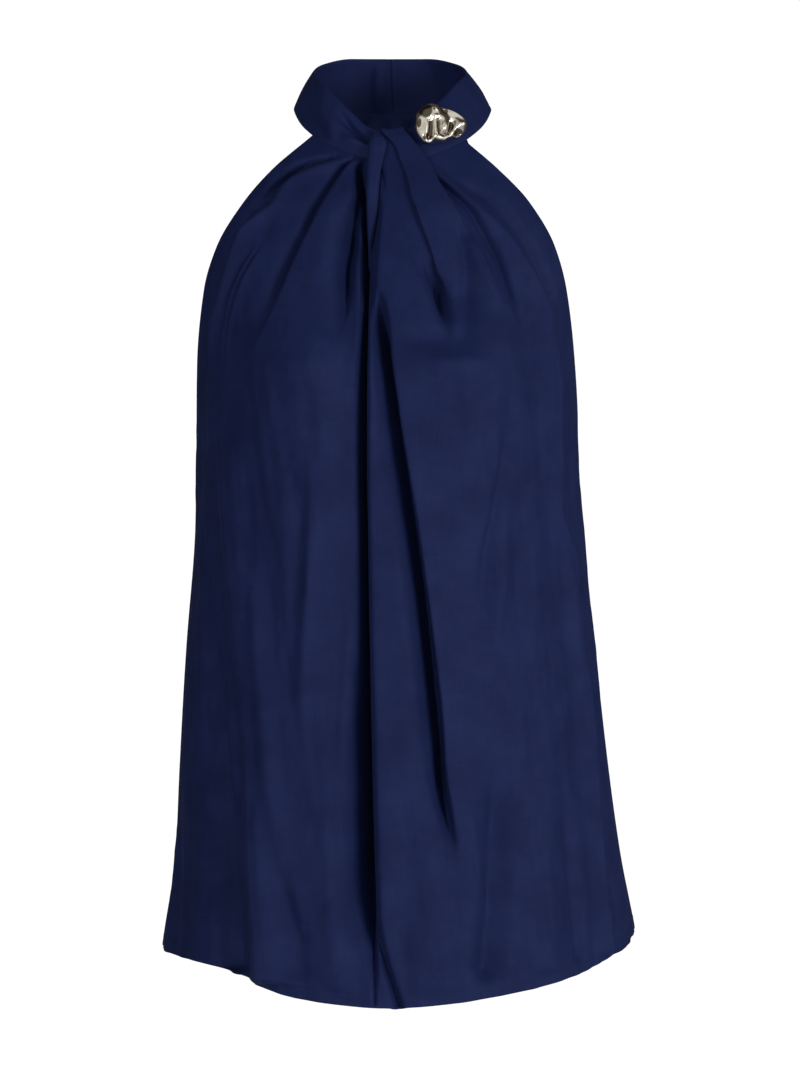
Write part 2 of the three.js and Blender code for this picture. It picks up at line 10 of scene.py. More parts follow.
import bmesh
import bpy
import numpy as np
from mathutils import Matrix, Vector


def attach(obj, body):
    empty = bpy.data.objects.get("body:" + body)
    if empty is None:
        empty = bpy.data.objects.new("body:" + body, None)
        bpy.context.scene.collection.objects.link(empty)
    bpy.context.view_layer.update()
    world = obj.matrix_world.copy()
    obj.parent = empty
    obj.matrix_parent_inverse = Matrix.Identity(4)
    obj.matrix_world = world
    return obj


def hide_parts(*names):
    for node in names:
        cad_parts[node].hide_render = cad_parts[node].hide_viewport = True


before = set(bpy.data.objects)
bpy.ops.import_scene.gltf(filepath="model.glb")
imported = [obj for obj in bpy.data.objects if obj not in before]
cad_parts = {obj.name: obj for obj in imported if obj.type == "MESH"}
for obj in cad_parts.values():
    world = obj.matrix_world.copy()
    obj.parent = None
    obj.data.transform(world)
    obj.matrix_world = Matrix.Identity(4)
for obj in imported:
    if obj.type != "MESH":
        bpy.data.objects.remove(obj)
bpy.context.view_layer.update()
print("nodes:", sorted(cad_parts))

# %% [markdown]
# ## Camera first
# The photo was taken level, from the front, with a long lens. The camera stands 2.6 m away, and the
# lens is worked out from the size of a photo pixel on the cloth, so that the view agrees with the
# photo.

# %% Camera
MM = 0.001
PHOTO_HEIGHT = 1067
PIXEL_MM = 0.76
CAMERA_AT = (9.1, -2600.0, -327.0)
SENSOR_MM = 36.0

camera_data = bpy.data.cameras.new("photo_camera")
camera_data.sensor_fit = "VERTICAL"
camera_data.sensor_height = SENSOR_MM
camera_data.lens = SENSOR_MM * -CAMERA_AT[1] / (PIXEL_MM * PHOTO_HEIGHT)
camera_data.clip_end = 50
camera = bpy.data.objects.new("photo_camera", camera_data)
camera.location = Vector(CAMERA_AT) * MM
camera.rotation_euler = (math.radians(90), 0, 0)
bpy.context.scene.collection.objects.link(camera)
bpy.context.scene.camera = camera
print("lens", round(camera_data.lens, 1), "mm")

# %% [markdown]
# ## Smooth tables
# A tailor describes a shape by a few measures at a few levels. Short tables hold them here, and a
# smooth curve runs through each column. The curve never overshoots its rows, so a straight side seam
# stays straight.

# %% Curves through tables
def smooth(places, values):
    """A curve through the values that never overshoots them."""
    order = np.argsort(places)
    x = np.asarray(places, float)[order]
    y = np.asarray(values, float)[order]
    secants = np.diff(y) / np.diff(x)
    slopes = np.empty_like(y)
    slopes[0] = secants[0]
    slopes[-1] = secants[-1]
    before = secants[:-1]
    after = secants[1:]
    same = before * after > 0
    total = np.where(same, before + after, 1)
    slopes[1:-1] = np.where(same, 2 * before * after / total, 0)

    def curve(at):
        inside = np.clip(at, x[0], x[-1])
        i = np.clip(np.searchsorted(x, inside) - 1, 0, len(x) - 2)
        span = x[i + 1] - x[i]
        t = (inside - x[i]) / span
        bend = span * ((t - 1) * slopes[i] + t * slopes[i + 1])
        return y[i] + (y[i + 1] - y[i]) * t * t * (3 - 2 * t) + t * (t - 1) * bend

    return curve


def columns(names, rows):
    """Named smooth columns of a table whose first column is the place."""
    table = np.array(rows, float)
    return {name: smooth(table[:, 0], table[:, k + 1]) for k, name in enumerate(names.split()[1:])}


def ease(value):
    t = np.clip(value, 0, 1)
    return t * t * (3 - 2 * t)


def mix(a, b, t):
    return a + (b - a) * t


# %% [markdown]
# ## The body of the top
# Each level has its half widths, the depth of its edge and of its centre, and the angle through which
# it turns. The levels are those of the solids, in millimetres, with the origin at the nape.

# %% Levels of the front and the back
SIDE_Y = 8
SEAM_GAP = -0.5
FRONT = columns("z left right edge centre turn", [
    (-700, 178, 196, SIDE_Y, -139, 90),
    (-640, 172, 190, SIDE_Y, -136, 90),
    (-570, 162, 177, SIDE_Y, -131, 90),
    (-505, 159, 168, SIDE_Y, -127, 90),
    (-415, 154, 158, SIDE_Y, -123, 90),
    (-325, 147, 149, SIDE_Y, -121, 90),
    (-266, 145.2, 144.2, SIDE_Y, -119.2, 90),
    (-257, 145, 144, 5, -119, 88),
    (-248, 144.9, 143.8, -4, -118.8, 84.5),
    (-236, 144.7, 143.4, -11, -118.4, 81),
    (-200, 144, 141, -16, -116, 79),
    (-144, 138, 134, -35, -104, 70),
    (-112, 128, 125, -43, -94, 67),
    (-81, 109, 107, -47, -82, 64),
    (-55, 87, 84, -46, -69, 62),
    (-28, 57, 55, -38, -58, 60),
])
BACK = columns("z left right edge centre turn", [
    (-700, 178, 196, SIDE_Y, 119, 90),
    (-640, 172, 190, SIDE_Y, 115, 90),
    (-570, 162, 177, SIDE_Y, 109, 90),
    (-505, 159, 168, SIDE_Y, 104, 90),
    (-415, 154, 158, SIDE_Y, 98, 90),
    (-325, 147, 149, SIDE_Y, 96, 90),
    (-266, 145.2, 144.2, SIDE_Y, 98, 90),
    (-257, 145, 144, 12, 98, 87),
    (-248, 143.6, 142.6, 21, 98.2, 82),
    (-236, 141.4, 140.2, 28, 98.5, 78),
    (-200, 137, 135, 37, 100, 76),
    (-150, 125, 123, 50, 98, 73),
    (-110, 108, 107, 60, 93, 69),
    (-75, 90, 91, 63, 85, 66),
    (-45, 71, 75, 60, 76, 63),
    (-20, 56, 61, 51, 68, 61),
    (-4, 50, 57, 44, 62, 60),
])
FRONT_HEM = columns("turn z", [
    (-90, -640), (-55, -643), (-35.5, -650.5), (-33.5, -655.5), (-15, -666), (0, -669),
    (30, -660), (60, -642), (90, -625),
])
BACK_HEM = columns("turn z", [(-90, -640), (-45, -652), (0, -659), (45, -650), (90, -625)])
CENTRE_SEAM = columns("z x", [(-670, -9), (-490, -12.5), (-330, -16), (-130, -15), (-48, -16)])
print("half widths at the side of the bust", FRONT["left"](-200), FRONT["right"](-200), "mm")

# %% [markdown]
# ## The neckband
# The band is two ovals, a wide lower one and a narrow upper one, so that it leans in round the neck.
# Its heights dip from the nape to the throat.

# %% The neckband's face
LOWER_RING = dict(centre=3.5, half=75.5, depth=62)
UPPER_RING = dict(centre=1.5, half=58, depth=52)
BAND_EDGE = columns("turn lower upper", [
    (0, -50, -28.5), (15, -48.5, -24), (30, -42, -11.5), (45, -34, 1),
    (60, -24, 12), (90, -5, 24), (120, -1, 34), (150, 0, 40.2), (180, 0, 41), (210, 0, 40.2),
])
BAND_LEAN = 0.35
BAND_BULGE = 1.5


def stack(x, y, z):
    return np.stack(np.broadcast_arrays(x, y, z), -1).astype(float)


def unit(vectors):
    return vectors / np.maximum(np.linalg.norm(vectors, axis=-1, keepdims=True), 1e-9)


def band_out(degrees):
    angle = np.radians(degrees)
    return unit(stack(np.sin(angle), -np.cos(angle), BAND_LEAN))


def ring(shape, heights, degrees):
    angle = np.radians(degrees)
    x = shape["centre"] + shape["half"] * np.sin(angle)
    return stack(x, -shape["depth"] * np.cos(angle), heights(np.abs(degrees)))


def band_point(degrees, share):
    """The band's face: an angle round the neck, and a share from its lower to its upper edge."""
    degrees, share = np.broadcast_arrays(np.asarray(degrees, float), np.asarray(share, float))
    lower = ring(LOWER_RING, BAND_EDGE["lower"], degrees)
    upper = ring(UPPER_RING, BAND_EDGE["upper"], degrees)
    bulge = BAND_BULGE * np.sin(np.pi * np.clip(share, 0, 1))
    return mix(lower, upper, share[..., None]) + band_out(degrees) * bulge[..., None]


print("throat to top of the band", (band_point(0, 1) - band_point(0, 0)).round(1), "mm")

# %% [markdown]
# ## Sections and folds
# A section gives a point of the cloth by its level and its share of the way across. A fold is a soft
# ridge or trough along a path as seen from the front. Its two flanks have their own widths, so a pleat
# can lean over.

# %% Sections
def section(levels, share, z, facing):
    """Points, outward directions and distances round the cloth.

    facing is -1 for the front and 1 for the back.
    """
    turn = np.radians(levels["turn"](z))
    half = np.where(share < 0, levels["left"](z), levels["right"](z))
    edge = levels["edge"](z) + facing * SEAM_GAP / 2
    centre = levels["centre"](z)
    angle = share * turn
    wide = half / np.sin(turn)
    deep = (edge - centre) / (1 - np.cos(turn))
    point = stack(wide * np.sin(angle), centre + deep * (1 - np.cos(angle)), z)
    out = unit(stack(-facing * deep * np.sin(angle), facing * wide * np.cos(angle), 0))
    return point, out, angle * wide


def angle_of_x(levels, x, z):
    turn = np.radians(levels["turn"](z))
    half = np.where(np.asarray(x) < 0, levels["left"](z), levels["right"](z))
    return np.arcsin(np.clip(x * np.sin(turn) / half, -1, 1)), turn, half


def share_of_x(levels, x, z):
    angle, turn = angle_of_x(levels, x, z)[:2]
    return angle / turn


def girth_of_x(levels, x, z):
    angle, turn, half = angle_of_x(levels, x, z)
    return angle * half / np.sin(turn)


def beside(levels, path, girth, z, start, end):
    """How far each point lies to the right of a path, and how much of the fold there is at its level."""
    x_at, z_at = np.array(path, float).T
    line = smooth(z_at, x_at)
    step = 4.0
    slant = np.cos(np.arctan((line(z + step) - line(z - step)) / (2 * step)))
    fade = ease((z_at.max() - z) / start) * ease((z - z_at.min()) / end)
    return (girth - girth_of_x(levels, line(z), z)) * slant, fade


def fold_rise(levels, folds, girth, z):
    """How far all the folds move the cloth out."""
    rise = np.zeros_like(girth)
    for path, height, left, right, start, end, power in folds:
        across, fade = beside(levels, path, girth, z, start, end)
        width = np.where(across < 0, left, right)
        rise += height * fade * np.exp(-np.abs(across / width) ** power)
    return rise


def lap_shift(levels, laps, girth, z):
    """How far the right lip of a deep fold leans over to the left, so that it hides the bottom."""
    shift = np.zeros_like(girth)
    for path, reach, wall, start, end in laps:
        across, fade = beside(levels, path, girth, z, start, end)
        beyond = np.maximum(across - wall, 0) / LAP_LENGTH
        shift += reach * fade * ease(across / wall) * np.exp(-beyond ** 2)
    return shift


def unevenness(seed, girth, z, wide, tall):
    """Soft hills of height -1 to 1 on a random lattice, wide and tall in mm."""
    lattice = np.random.default_rng(seed).uniform(-1, 1, (64, 64))
    u = np.abs(girth / wide + 32)
    v = np.abs(z / tall + 50)
    i = np.floor(u).astype(int)
    j = np.floor(v).astype(int)
    a = ease(u - i)
    b = ease(v - j)
    low = mix(lattice[i % 64, j % 64], lattice[(i + 1) % 64, j % 64], a)
    high = mix(lattice[i % 64, (j + 1) % 64], lattice[(i + 1) % 64, (j + 1) % 64], a)
    return mix(low, high, b)


# %% [markdown]
# ## The folds, listed
# They radiate from the knot, as the gathers do on the real top, and hang as long soft flutes below the
# bust. Each row is a path, its height (a trough's is negative), its two widths, the lengths over which
# it starts and dies, and how sharp it is: 2 is round, and less is a crease.

# %% Folds of the front
FLAP_TROUGH = (
    [(17.2, -60), (17.8, -76), (19.6, -87), (21.8, -100), (25.3, -114), (28.6, -125), (31.7, -135),
     (36.6, -145), (39, -155), (41.4, -170), (45, -188)],
    -24, 4.6, 4.6, 44, 40, 1.45,
)
SEAM_TROUGH = [(-16, -44), (-15, -127), (-16, -259), (-15, -346), (-12, -491), (-10, -577), (-9, -668)]
SIDE_TROUGH = [(-7, -140), (6, -190), (15.5, -259), (27, -333), (37.5, -411), (45, -487), (48, -568)]
LEFT_PLEAT = [(-29, -46), (-40.5, -68.5), (-52, -92), (-63.3, -116.7), (-74.7, -143.7), (-89, -177),
              (-94, -190)]
SHOULDER_STEP = [(-46, -46), (-58.5, -51), (-69, -56), (-78, -65), (-85, -79), (-96, -88), (-107, -97.5),
                 (-114, -111), (-119.5, -131), (-125, -153), (-130, -172), (-133, -230)]
FRONT_FOLDS = [
    # the deep trough of the centre seam
    (SEAM_TROUGH,
     -30, 4.0, 3.0, 42, 110, 1.6),
    (SEAM_TROUGH,
     -3, 1.2, 1.2, 4, 2, 1.3),
    ([(-17, -390), (-16, -460), (-14, -540), (-12, -640)], -18, 15, 4, 90, 70, 1.6),
    ([(-10, -585), (-6, -612), (1, -642), (10, -670)], -10, 3.2, 1.8, 36, 2, 1.4),
    ([(-25, -86), (-25, -150), (-23, -240)], -7, 9, 7, 36, 90, 2),
    ([(-19, -150), (-20, -259), (-20, -346), (-18, -491), (-16, -600), (-15, -668)], -8, 10, 5, 120, 60, 2),
    ([(-9, -330), (-5, -420), (-2, -520), (0, -640)], 3, 5, 12, 120, 60, 2),
    ([(-24, -76), (-26, -160), (-30, -300), (-29, -400), (-27, -470)], -7, 16, 10, 46, 120, 2),
    ([(-18, -46), (-18, -62), (-17.5, -80), (-17, -98)], -4, 2.4, 3.4, 3, 22, 1.6),
    # the gap to the right of the strand
    ([(-4.5, -50), (-5.7, -59), (-6.1, -67), (-7, -80), (-8.4, -100), (-9.2, -123), (-9.9, -153),
      (-9, -178)],
     -13, 3.2, 3, 3, 44, 2),
    # the trough beside it, which leaves the knot to the right
    (SIDE_TROUGH,
     -27, 10, 2.6, 50, 70, 1.6),
    ([(19, -259), (31, -333), (42, -411), (50, -487), (54, -580)], 3, 4, 18, 60, 150, 2),
    ([(2, -190), (14, -259), (26, -340), (42, -440), (58, -560)], 3.5, 6, 12, 70, 160, 2),
    # the flap's trough on its left, and the step on its right
    FLAP_TROUGH,
    ([(18, -32), (29, -48), (42, -73), (55, -96), (69, -126), (83, -155), (101, -186)],
     4, 20, 2, 4, 50, 1.8),
    # the fold round the swell, and the small ones beside it
    ([(40, -86), (50, -100), (58, -139), (54, -200)], -5, 6, 7, 26, 36, 2),
    ([(44, -60), (68, -100), (83, -129), (97, -180)], -7, 6, 2.6, 10, 40, 1.5),
    ([(58, -104), (70, -136), (82, -168)], 3, 7, 5, 14, 20, 2),
    ([(38, -44), (64, -82), (88, -108), (105, -134), (117, -161), (124, -220), (125, -262)],
     5.5, 14, 4, 6, 50, 1.6),
    ([(58, -62), (84, -88), (106, -118), (122, -156), (130, -200)], -5, 5, 7, 16, 50, 1.7),
    ([(123, -205), (124, -265), (124, -310), (134, -340), (141, -401), (152, -515), (158, -582),
      (164, -640)],
     8, 11, 4.5, 60, 4, 1.6),
    ([(138, -215), (137, -310), (146, -379), (153, -440)], 3, 4, 4, 40, 60, 1.8),
    ([(131, -240), (131, -320), (141, -390), (150, -460)], -2.5, 4, 4, 50, 60, 1.8),
    ([(150, -400), (159, -517), (164, -570), (170, -622)], -4.5, 4, 6, 70, 14, 1.8),
    # under the bust on the right
    ([(84, -240), (76, -311), (71, -344), (69, -390)], -3, 3.5, 6, 40, 40, 1.8),
    ([(88, -320), (80, -380), (74, -440)], 2.5, 8, 7, 40, 50, 2),
    ([(86, -470), (80, -530), (76, -590), (70, -655)], -11, 9, 14, 80, 14, 1.6),
    ([(112, -470), (114, -540), (116, -600), (116, -650)], 4, 13, 12, 70, 8, 2),
    ([(128, -500), (133, -560), (138, -610), (141, -645)], -3.5, 8, 9, 50, 8, 2),
    ([(30, -500), (31, -560), (32, -610), (32, -662)], 3, 12, 14, 70, 10, 2),
    # the left front: the tuck by the armhole, the long pleats, and the short ones under the band
    ([(-40, -45), (-55, -49), (-70, -55), (-84, -66), (-96, -80)], -9, 2.6, 3.0, 5, 16, 1.5),
    (SHOULDER_STEP, 6.0, 2.4, 13, 5, 60, 1.7),
    (SHOULDER_STEP, -5.5, 9, 2.2, 12, 70, 1.6),
    ([(-95, -112), (-106, -132), (-113, -149), (-119, -178), (-123, -225)], 4.5, 2.4, 10, 20, 50, 1.6),
    ([(-93, -112), (-104, -132), (-111, -149), (-117, -178), (-121, -225)], -3.5, 7, 2.0, 20, 50, 1.7),
    (LEFT_PLEAT, -12, 8.5, 1.6, 8, 46, 1.4),
    (LEFT_PLEAT, 2.0, 2.0, 16, 8, 60, 1.8),
    ([(-18, -72), (-25, -101), (-28, -117), (-31, -132), (-32, -150), (-36, -190)],
     -17, 4.6, 3.0, 16, 56, 1.4),
    ([(-33, -70), (-40, -100), (-47, -140), (-52, -190)], 2.4, 9, 8, 24, 60, 2),
    ([(-24, -110), (-22, -160), (-25, -210), (-34, -262)], 4, 6, 5, 30, 60, 2),
    # the long flutes of the left front
    ([(-124, -225), (-119, -299), (-115, -344), (-110, -400), (-103, -480), (-97, -555), (-93, -612),
      (-91, -655)],
     5, 6, 24, 70, 4, 1.8),
    ([(-102, -480), (-97, -560), (-90, -655)], 9, 8, 26, 110, 4, 2),
    ([(-134, -330), (-128, -430), (-120, -540), (-114, -600), (-110, -648)], -12, 16, 8, 120, 4, 1.9),
    ([(-98, -344), (-91, -444), (-75, -555), (-50, -640)], 4, 8, 9, 60, 60, 2),
    ([(-80, -520), (-72, -590), (-66, -655)], -4.5, 11, 11, 80, 8, 2),
    ([(-65, -250), (-62, -311), (-64, -355), (-70, -410)], -3, 8, 8, 60, 60, 2),
    ([(-53, -290), (-56, -350), (-60, -420), (-62, -500)], 3.5, 7, 5, 60, 80, 1.8),
    ([(-31, -340), (-36, -404), (-40, -470), (-43, -540)], -5, 11, 7, 60, 80, 1.8),
    ([(-44, -540), (-40, -600), (-36, -660)], 4, 11, 11, 70, 8, 2),
    ([(-152, -300), (-154, -400), (-156, -480), (-158, -560)], -3, 7, 6, 60, 60, 2),
    ([(-128, -350), (-126, -430)], 2.5, 5, 5, 30, 30, 2),
]
LAP_LENGTH = 22
FRONT_LAPS = [
    # path, how far the lip leans over, the width of the wall below it, and where it starts and dies
    (SEAM_TROUGH, 3.4, 4.5, 120, 130),
    (SIDE_TROUGH, 9.5, 5.5, 70, 80),
    (LEFT_PLEAT, 4.0, 3.0, 12, 60),
]
SWELLS = [
    # across, height, rise, then the reach across, above and below
    (-66, -196, 13, 42, 48, 120), (66, -196, 13, 42, 48, 120),
    (52, -156, -4.0, 15, 28, 18), (38, -186, -5.6, 20, 9, 8), (48, -203, 4.4, 22, 7, 17),
    (78, -212, 1.8, 16, 9, 14), (-44, -172, -4.0, 18, 26, 12), (-62, -205, 3.0, 26, 8, 17),
    (-96, -216, 1.6, 18, 12, 16),
]
print(len(FRONT_FOLDS), "folds on the front")

# %% [markdown]
# ## The folds of the back
# The back hangs from the nape. Shallow gathers leave the neckband and die above the waist, and long
# soft flutes open towards the hem, because the panel is much wider there than the neckband is.

# %% Folds of the back
BACK_FOLDS = [
    ([(-18, -4), (-34, -60), (-60, -130), (-88, -215)], -4, 6, 6, 5, 90, 1.8),
    ([(20, -4), (36, -60), (58, -125), (80, -205)], -4, 6, 6, 5, 90, 1.8),
    ([(-8, -3), (-14, -60), (-24, -120), (-34, -190)], 2.5, 6, 7, 5, 70, 2),
    ([(8, -3), (14, -60), (25, -120), (38, -180)], 2.5, 7, 6, 5, 70, 2),
    ([(-32, -10), (-52, -70), (-80, -140), (-104, -210)], 3, 6, 9, 8, 60, 2),
    ([(34, -10), (54, -70), (80, -135), (102, -200)], 3, 9, 6, 8, 60, 2),
    ([(-8, -200), (-12, -360), (-16, -510), (-20, -662)], -9, 13, 12, 200, 4, 2),
    ([(-36, -330), (-42, -450), (-48, -560), (-52, -660)], 4, 9, 10, 90, 6, 2),
    ([(-62, -260), (-70, -400), (-78, -530), (-86, -655)], 8, 16, 18, 200, 4, 2),
    ([(-104, -300), (-112, -420), (-122, -540), (-130, -645)], -7, 12, 14, 150, 4, 2),
    ([(-134, -360), (-142, -470), (-150, -560), (-156, -638)], 4, 8, 10, 90, 4, 2),
    ([(18, -300), (20, -420), (22, -540), (24, -662)], -3, 8, 8, 100, 6, 2),
    ([(42, -240), (46, -380), (50, -520), (54, -658)], 8, 17, 16, 200, 4, 2),
    ([(92, -280), (100, -410), (108, -540), (114, -645)], -8, 14, 14, 170, 4, 2),
    ([(128, -340), (136, -440), (146, -540), (154, -632)], 5, 11, 12, 140, 4, 2),
]
print(len(BACK_FOLDS), "folds on the back")

# %% [markdown]
# ## A panel of cloth
# A panel runs from the hem to the neck seam. Its last stretch is drawn in to the neckband, and its top
# edge is tucked behind the band, where the real seam is. Folds die at the side seams, so that the
# panels meet there.

# %% Points of the panels
FRONT_CORNERS = dict(left=-53, seam=-15, right=46)
BACK_CORNER = 135
EDGE_CALM = 0.06
DRAW_IN = 0.075
TUCK = dict(up=1.2, inward=0.9)
# how much of a fold the neck seam presses flat, and over which share of the panel's height
PRESSED = dict(part=0.8, reach=0.015)
UNEVEN_START = 80
UNEVEN = [
    # seed, height, width and length of the hills, their slant, and the level below which they set in
    (3, 0.5, 11, 26, 0, 1000),
    (4, 0.22, 5, 9, 0, 1000),
    (5, 1.7, 15, 120, 0, -190),
    (6, 0.6, 7, 70, 0.12, -150),
]


def neck_seam(degrees):
    inward = band_out(degrees) * -TUCK["inward"]
    return band_point(degrees, 0) + inward + np.array([0, 0, TUCK["up"]])


def swell(x, z):
    rise = np.zeros_like(x)
    for x_at, z_at, height, across, above, below in SWELLS:
        down = np.where(z > z_at, above, below)
        rise += height * np.exp(-((x - x_at) / across) ** 2 - ((z - z_at) / down) ** 2)
    return rise


def panel(levels, folds, hem, share, up, degrees, facing):
    """Points of a panel, and the distance round it and the height, which are the cloth's own measures."""
    seam = neck_seam(degrees)
    seam_z = seam[..., 2]
    z = mix(hem["z"](share * 90), seam_z, up)
    base, out, girth = section(levels, share, z, facing)
    at_seam = section(levels, share, seam_z, facing)[0]
    drawn = ease((up - 1 + DRAW_IN) / DRAW_IN)[..., None]
    calm = ease((1 - np.abs(share)) / EDGE_CALM)
    rise = fold_rise(levels, folds, girth, z) * calm
    rise *= 1 - PRESSED["part"] * ease((up - 1 + PRESSED["reach"]) / PRESSED["reach"])
    for seed, height, wide, tall, slant, below in UNEVEN:
        uneven = unevenness(seed, girth + slant * z, z, wide, tall)
        rise += height * calm * ease((below - z) / UNEVEN_START) * uneven
    if facing < 0:
        rise += swell(base[..., 0], z)
        rightward = stack(-out[..., 1], out[..., 0], 0)
        base = base - rightward * (lap_shift(levels, FRONT_LAPS, girth, z) * calm)[..., None]
    return base + drawn * (seam - at_seam) + out * rise[..., None], girth, z


def front_point(side, from_seam, up, folds=FRONT_FOLDS):
    """One half of the front. from_seam is 0 at the centre seam and 1 at the side."""
    corner = FRONT_CORNERS["left"] if side < 0 else FRONT_CORNERS["right"]
    degrees = mix(FRONT_CORNERS["seam"] + side * SEAM_GAP / 2, corner, from_seam)
    rough_z = mix(FRONT_HEM["z"](0), band_point(degrees, 0)[..., 2], up)
    seam_x = CENTRE_SEAM["x"](rough_z) + side * SEAM_GAP / 2
    seam_share = share_of_x(FRONT, seam_x, rough_z)
    share = mix(seam_share, side, from_seam)
    return panel(FRONT, folds, FRONT_HEM, share, up, degrees, -1)


# %% [markdown]
# ## From points to a sheet with an edge
# Real satin is thin, but its edges are turned and rounded. The grid of points is the outer face. A
# second face lies behind it, and the two come together at the border, as a folded edge does.

# %% The sheet maker
# the rounded edge needs extra points: how many radii wide it is, and where in it they lie
EDGE_REACH = 1.6
EDGE_STEPS = np.array([0, 0.06, 0.22, 0.5])


def border_steps(count, length, edge):
    """Shares from 0 to 1 of a length, with the extra ones of both edges. edge is their radius in mm."""
    reach = edge * EDGE_REACH / length
    extra = EDGE_STEPS * reach
    return np.concatenate([extra, np.linspace(reach, 1 - reach, count), 1 - extra[::-1]])


def grid_normals(points):
    across = np.gradient(points, axis=1)
    upward = np.gradient(points, axis=0)
    return unit(np.cross(across, upward))


def running_length(points, axis):
    steps = np.linalg.norm(np.diff(points, axis=axis), axis=-1)
    start = np.zeros_like(np.take(steps, [0], axis=axis))
    return np.concatenate([start, np.cumsum(steps, axis=axis)], axis=axis)


def border_distance(points):
    across = running_length(points, 1)
    upward = running_length(points, 0)
    sideways = np.minimum(across, across[:, -1:] - across)
    return np.minimum(sideways, np.minimum(upward, upward[-1:] - upward))


def quads(index):
    corners = [index[:-1, :-1], index[:-1, 1:], index[1:, 1:], index[1:, :-1]]
    return np.stack(corners, -1).reshape(-1, 4)


def new_mesh(name, points, faces, uv=None):
    """A smooth mesh from points in mm and faces. uv has a pair of cloth measures for each point, in mm."""
    mesh = bpy.data.meshes.new(name)
    mesh.from_pydata((points * MM).tolist(), [], faces)
    mesh.shade_smooth()
    if uv is not None:
        loops = np.empty(len(mesh.loops), int)
        mesh.loops.foreach_get("vertex_index", loops)
        layer = mesh.uv_layers.new(name="cut")
        layer.data.foreach_set("uv", (uv[loops] * MM).ravel())
    piece = bpy.data.objects.new(name, mesh)
    bpy.context.scene.collection.objects.link(piece)
    return piece


def sheet_mesh(name, points, uv, thick, edge):
    """A closed thin sheet. thick is one value or one for each point, edge its edge's radius, in mm."""
    rows, cols = points.shape[:2]
    inward = np.sqrt(1 - (1 - np.clip(border_distance(points) / edge, 0, 1)) ** 2)
    normals = grid_normals(points)
    depth = (thick * inward)[..., None]
    drop = ((1 - inward) * thick * 0.5)[..., None]
    outer = points - normals * drop
    inner = points - normals * (drop + depth)
    front_index = np.arange(rows * cols).reshape(rows, cols)
    back_index = front_index.copy()
    inside = np.arange((rows - 2) * (cols - 2)).reshape(rows - 2, cols - 2)
    back_index[1:-1, 1:-1] = rows * cols + inside
    all_points = np.concatenate([outer.reshape(-1, 3), inner[1:-1, 1:-1].reshape(-1, 3)])
    all_uv = np.concatenate([uv.reshape(-1, 2), uv[1:-1, 1:-1].reshape(-1, 2)])
    faces = np.concatenate([quads(front_index), quads(back_index)[:, ::-1]])
    piece = new_mesh(name, all_points, faces.tolist(), all_uv)
    print(name, len(faces) * 2, "triangles")
    return piece


# %% [markdown]
# ## Satin
# Sandwashed satin has a low, broad sheen and a slightly clouded colour from the wash. The weave is too
# fine to see at arm's length, so it is a faint bump, and the clouds and slubs carry the look. They are
# one node group, because the body and the neckband share them at different strengths.

# %% Node helpers
def node(tree, kind, **settings):
    """A new node. in_Name, or in_0 by number, sets an input, or links it where the value is an output."""
    made = tree.nodes.new(kind)
    for key, value in settings.items():
        if not key.startswith("in_"):
            setattr(made, key, value)
            continue
        name = key[3:].replace("_", " ")
        socket = made.inputs[int(name) if name.isdigit() else name]
        if isinstance(value, bpy.types.NodeSocket):
            tree.links.new(value, socket)
        else:
            socket.default_value = value
    return made


def map_range(tree, value, low, high, to_low, to_high):
    """The value, mapped from one span to another and held inside it."""
    made = node(tree, "ShaderNodeMapRange", clamp=True, in_Value=value, in_From_Min=low, in_From_Max=high,
                in_To_Min=to_low, in_To_Max=to_high)
    return made.outputs["Result"]


def two_tones(tree, value, *stops):
    """A ramp between two colours, each given with its place."""
    made = node(tree, "ShaderNodeValToRGB", in_Fac=value)
    for k, (place, colour) in enumerate(stops):
        made.color_ramp.elements[k].position = place
        made.color_ramp.elements[k].color = (*colour, 1)
    return made.outputs["Color"]


def new_group(name, inputs, outputs):
    group = bpy.data.node_groups.new(name, "ShaderNodeTree")
    for socket, kind, value in inputs:
        made = group.interface.new_socket(name=socket, in_out="INPUT", socket_type=kind)
        if value is not None:
            made.default_value = value
    for socket, kind in outputs:
        group.interface.new_socket(name=socket, in_out="OUTPUT", socket_type=kind)
    return group, group.nodes.new("NodeGroupInput"), group.nodes.new("NodeGroupOutput")


def new_material(name):
    material = bpy.data.materials.new(name)
    material.use_nodes = True
    return material, material.node_tree, material.node_tree.nodes["Principled BSDF"]


# %% [markdown]
# ## Clouds, slubs and weave
# The wash leaves soft clouds a few centimetres wide. Thick places in the yarn show as slubs, long and
# thin along the cloth, and the crossing yarns do the same across it. Noise over the cut cloth gives
# each of them, stretched where it stands for yarns. The finest noise is the grain of the weave.

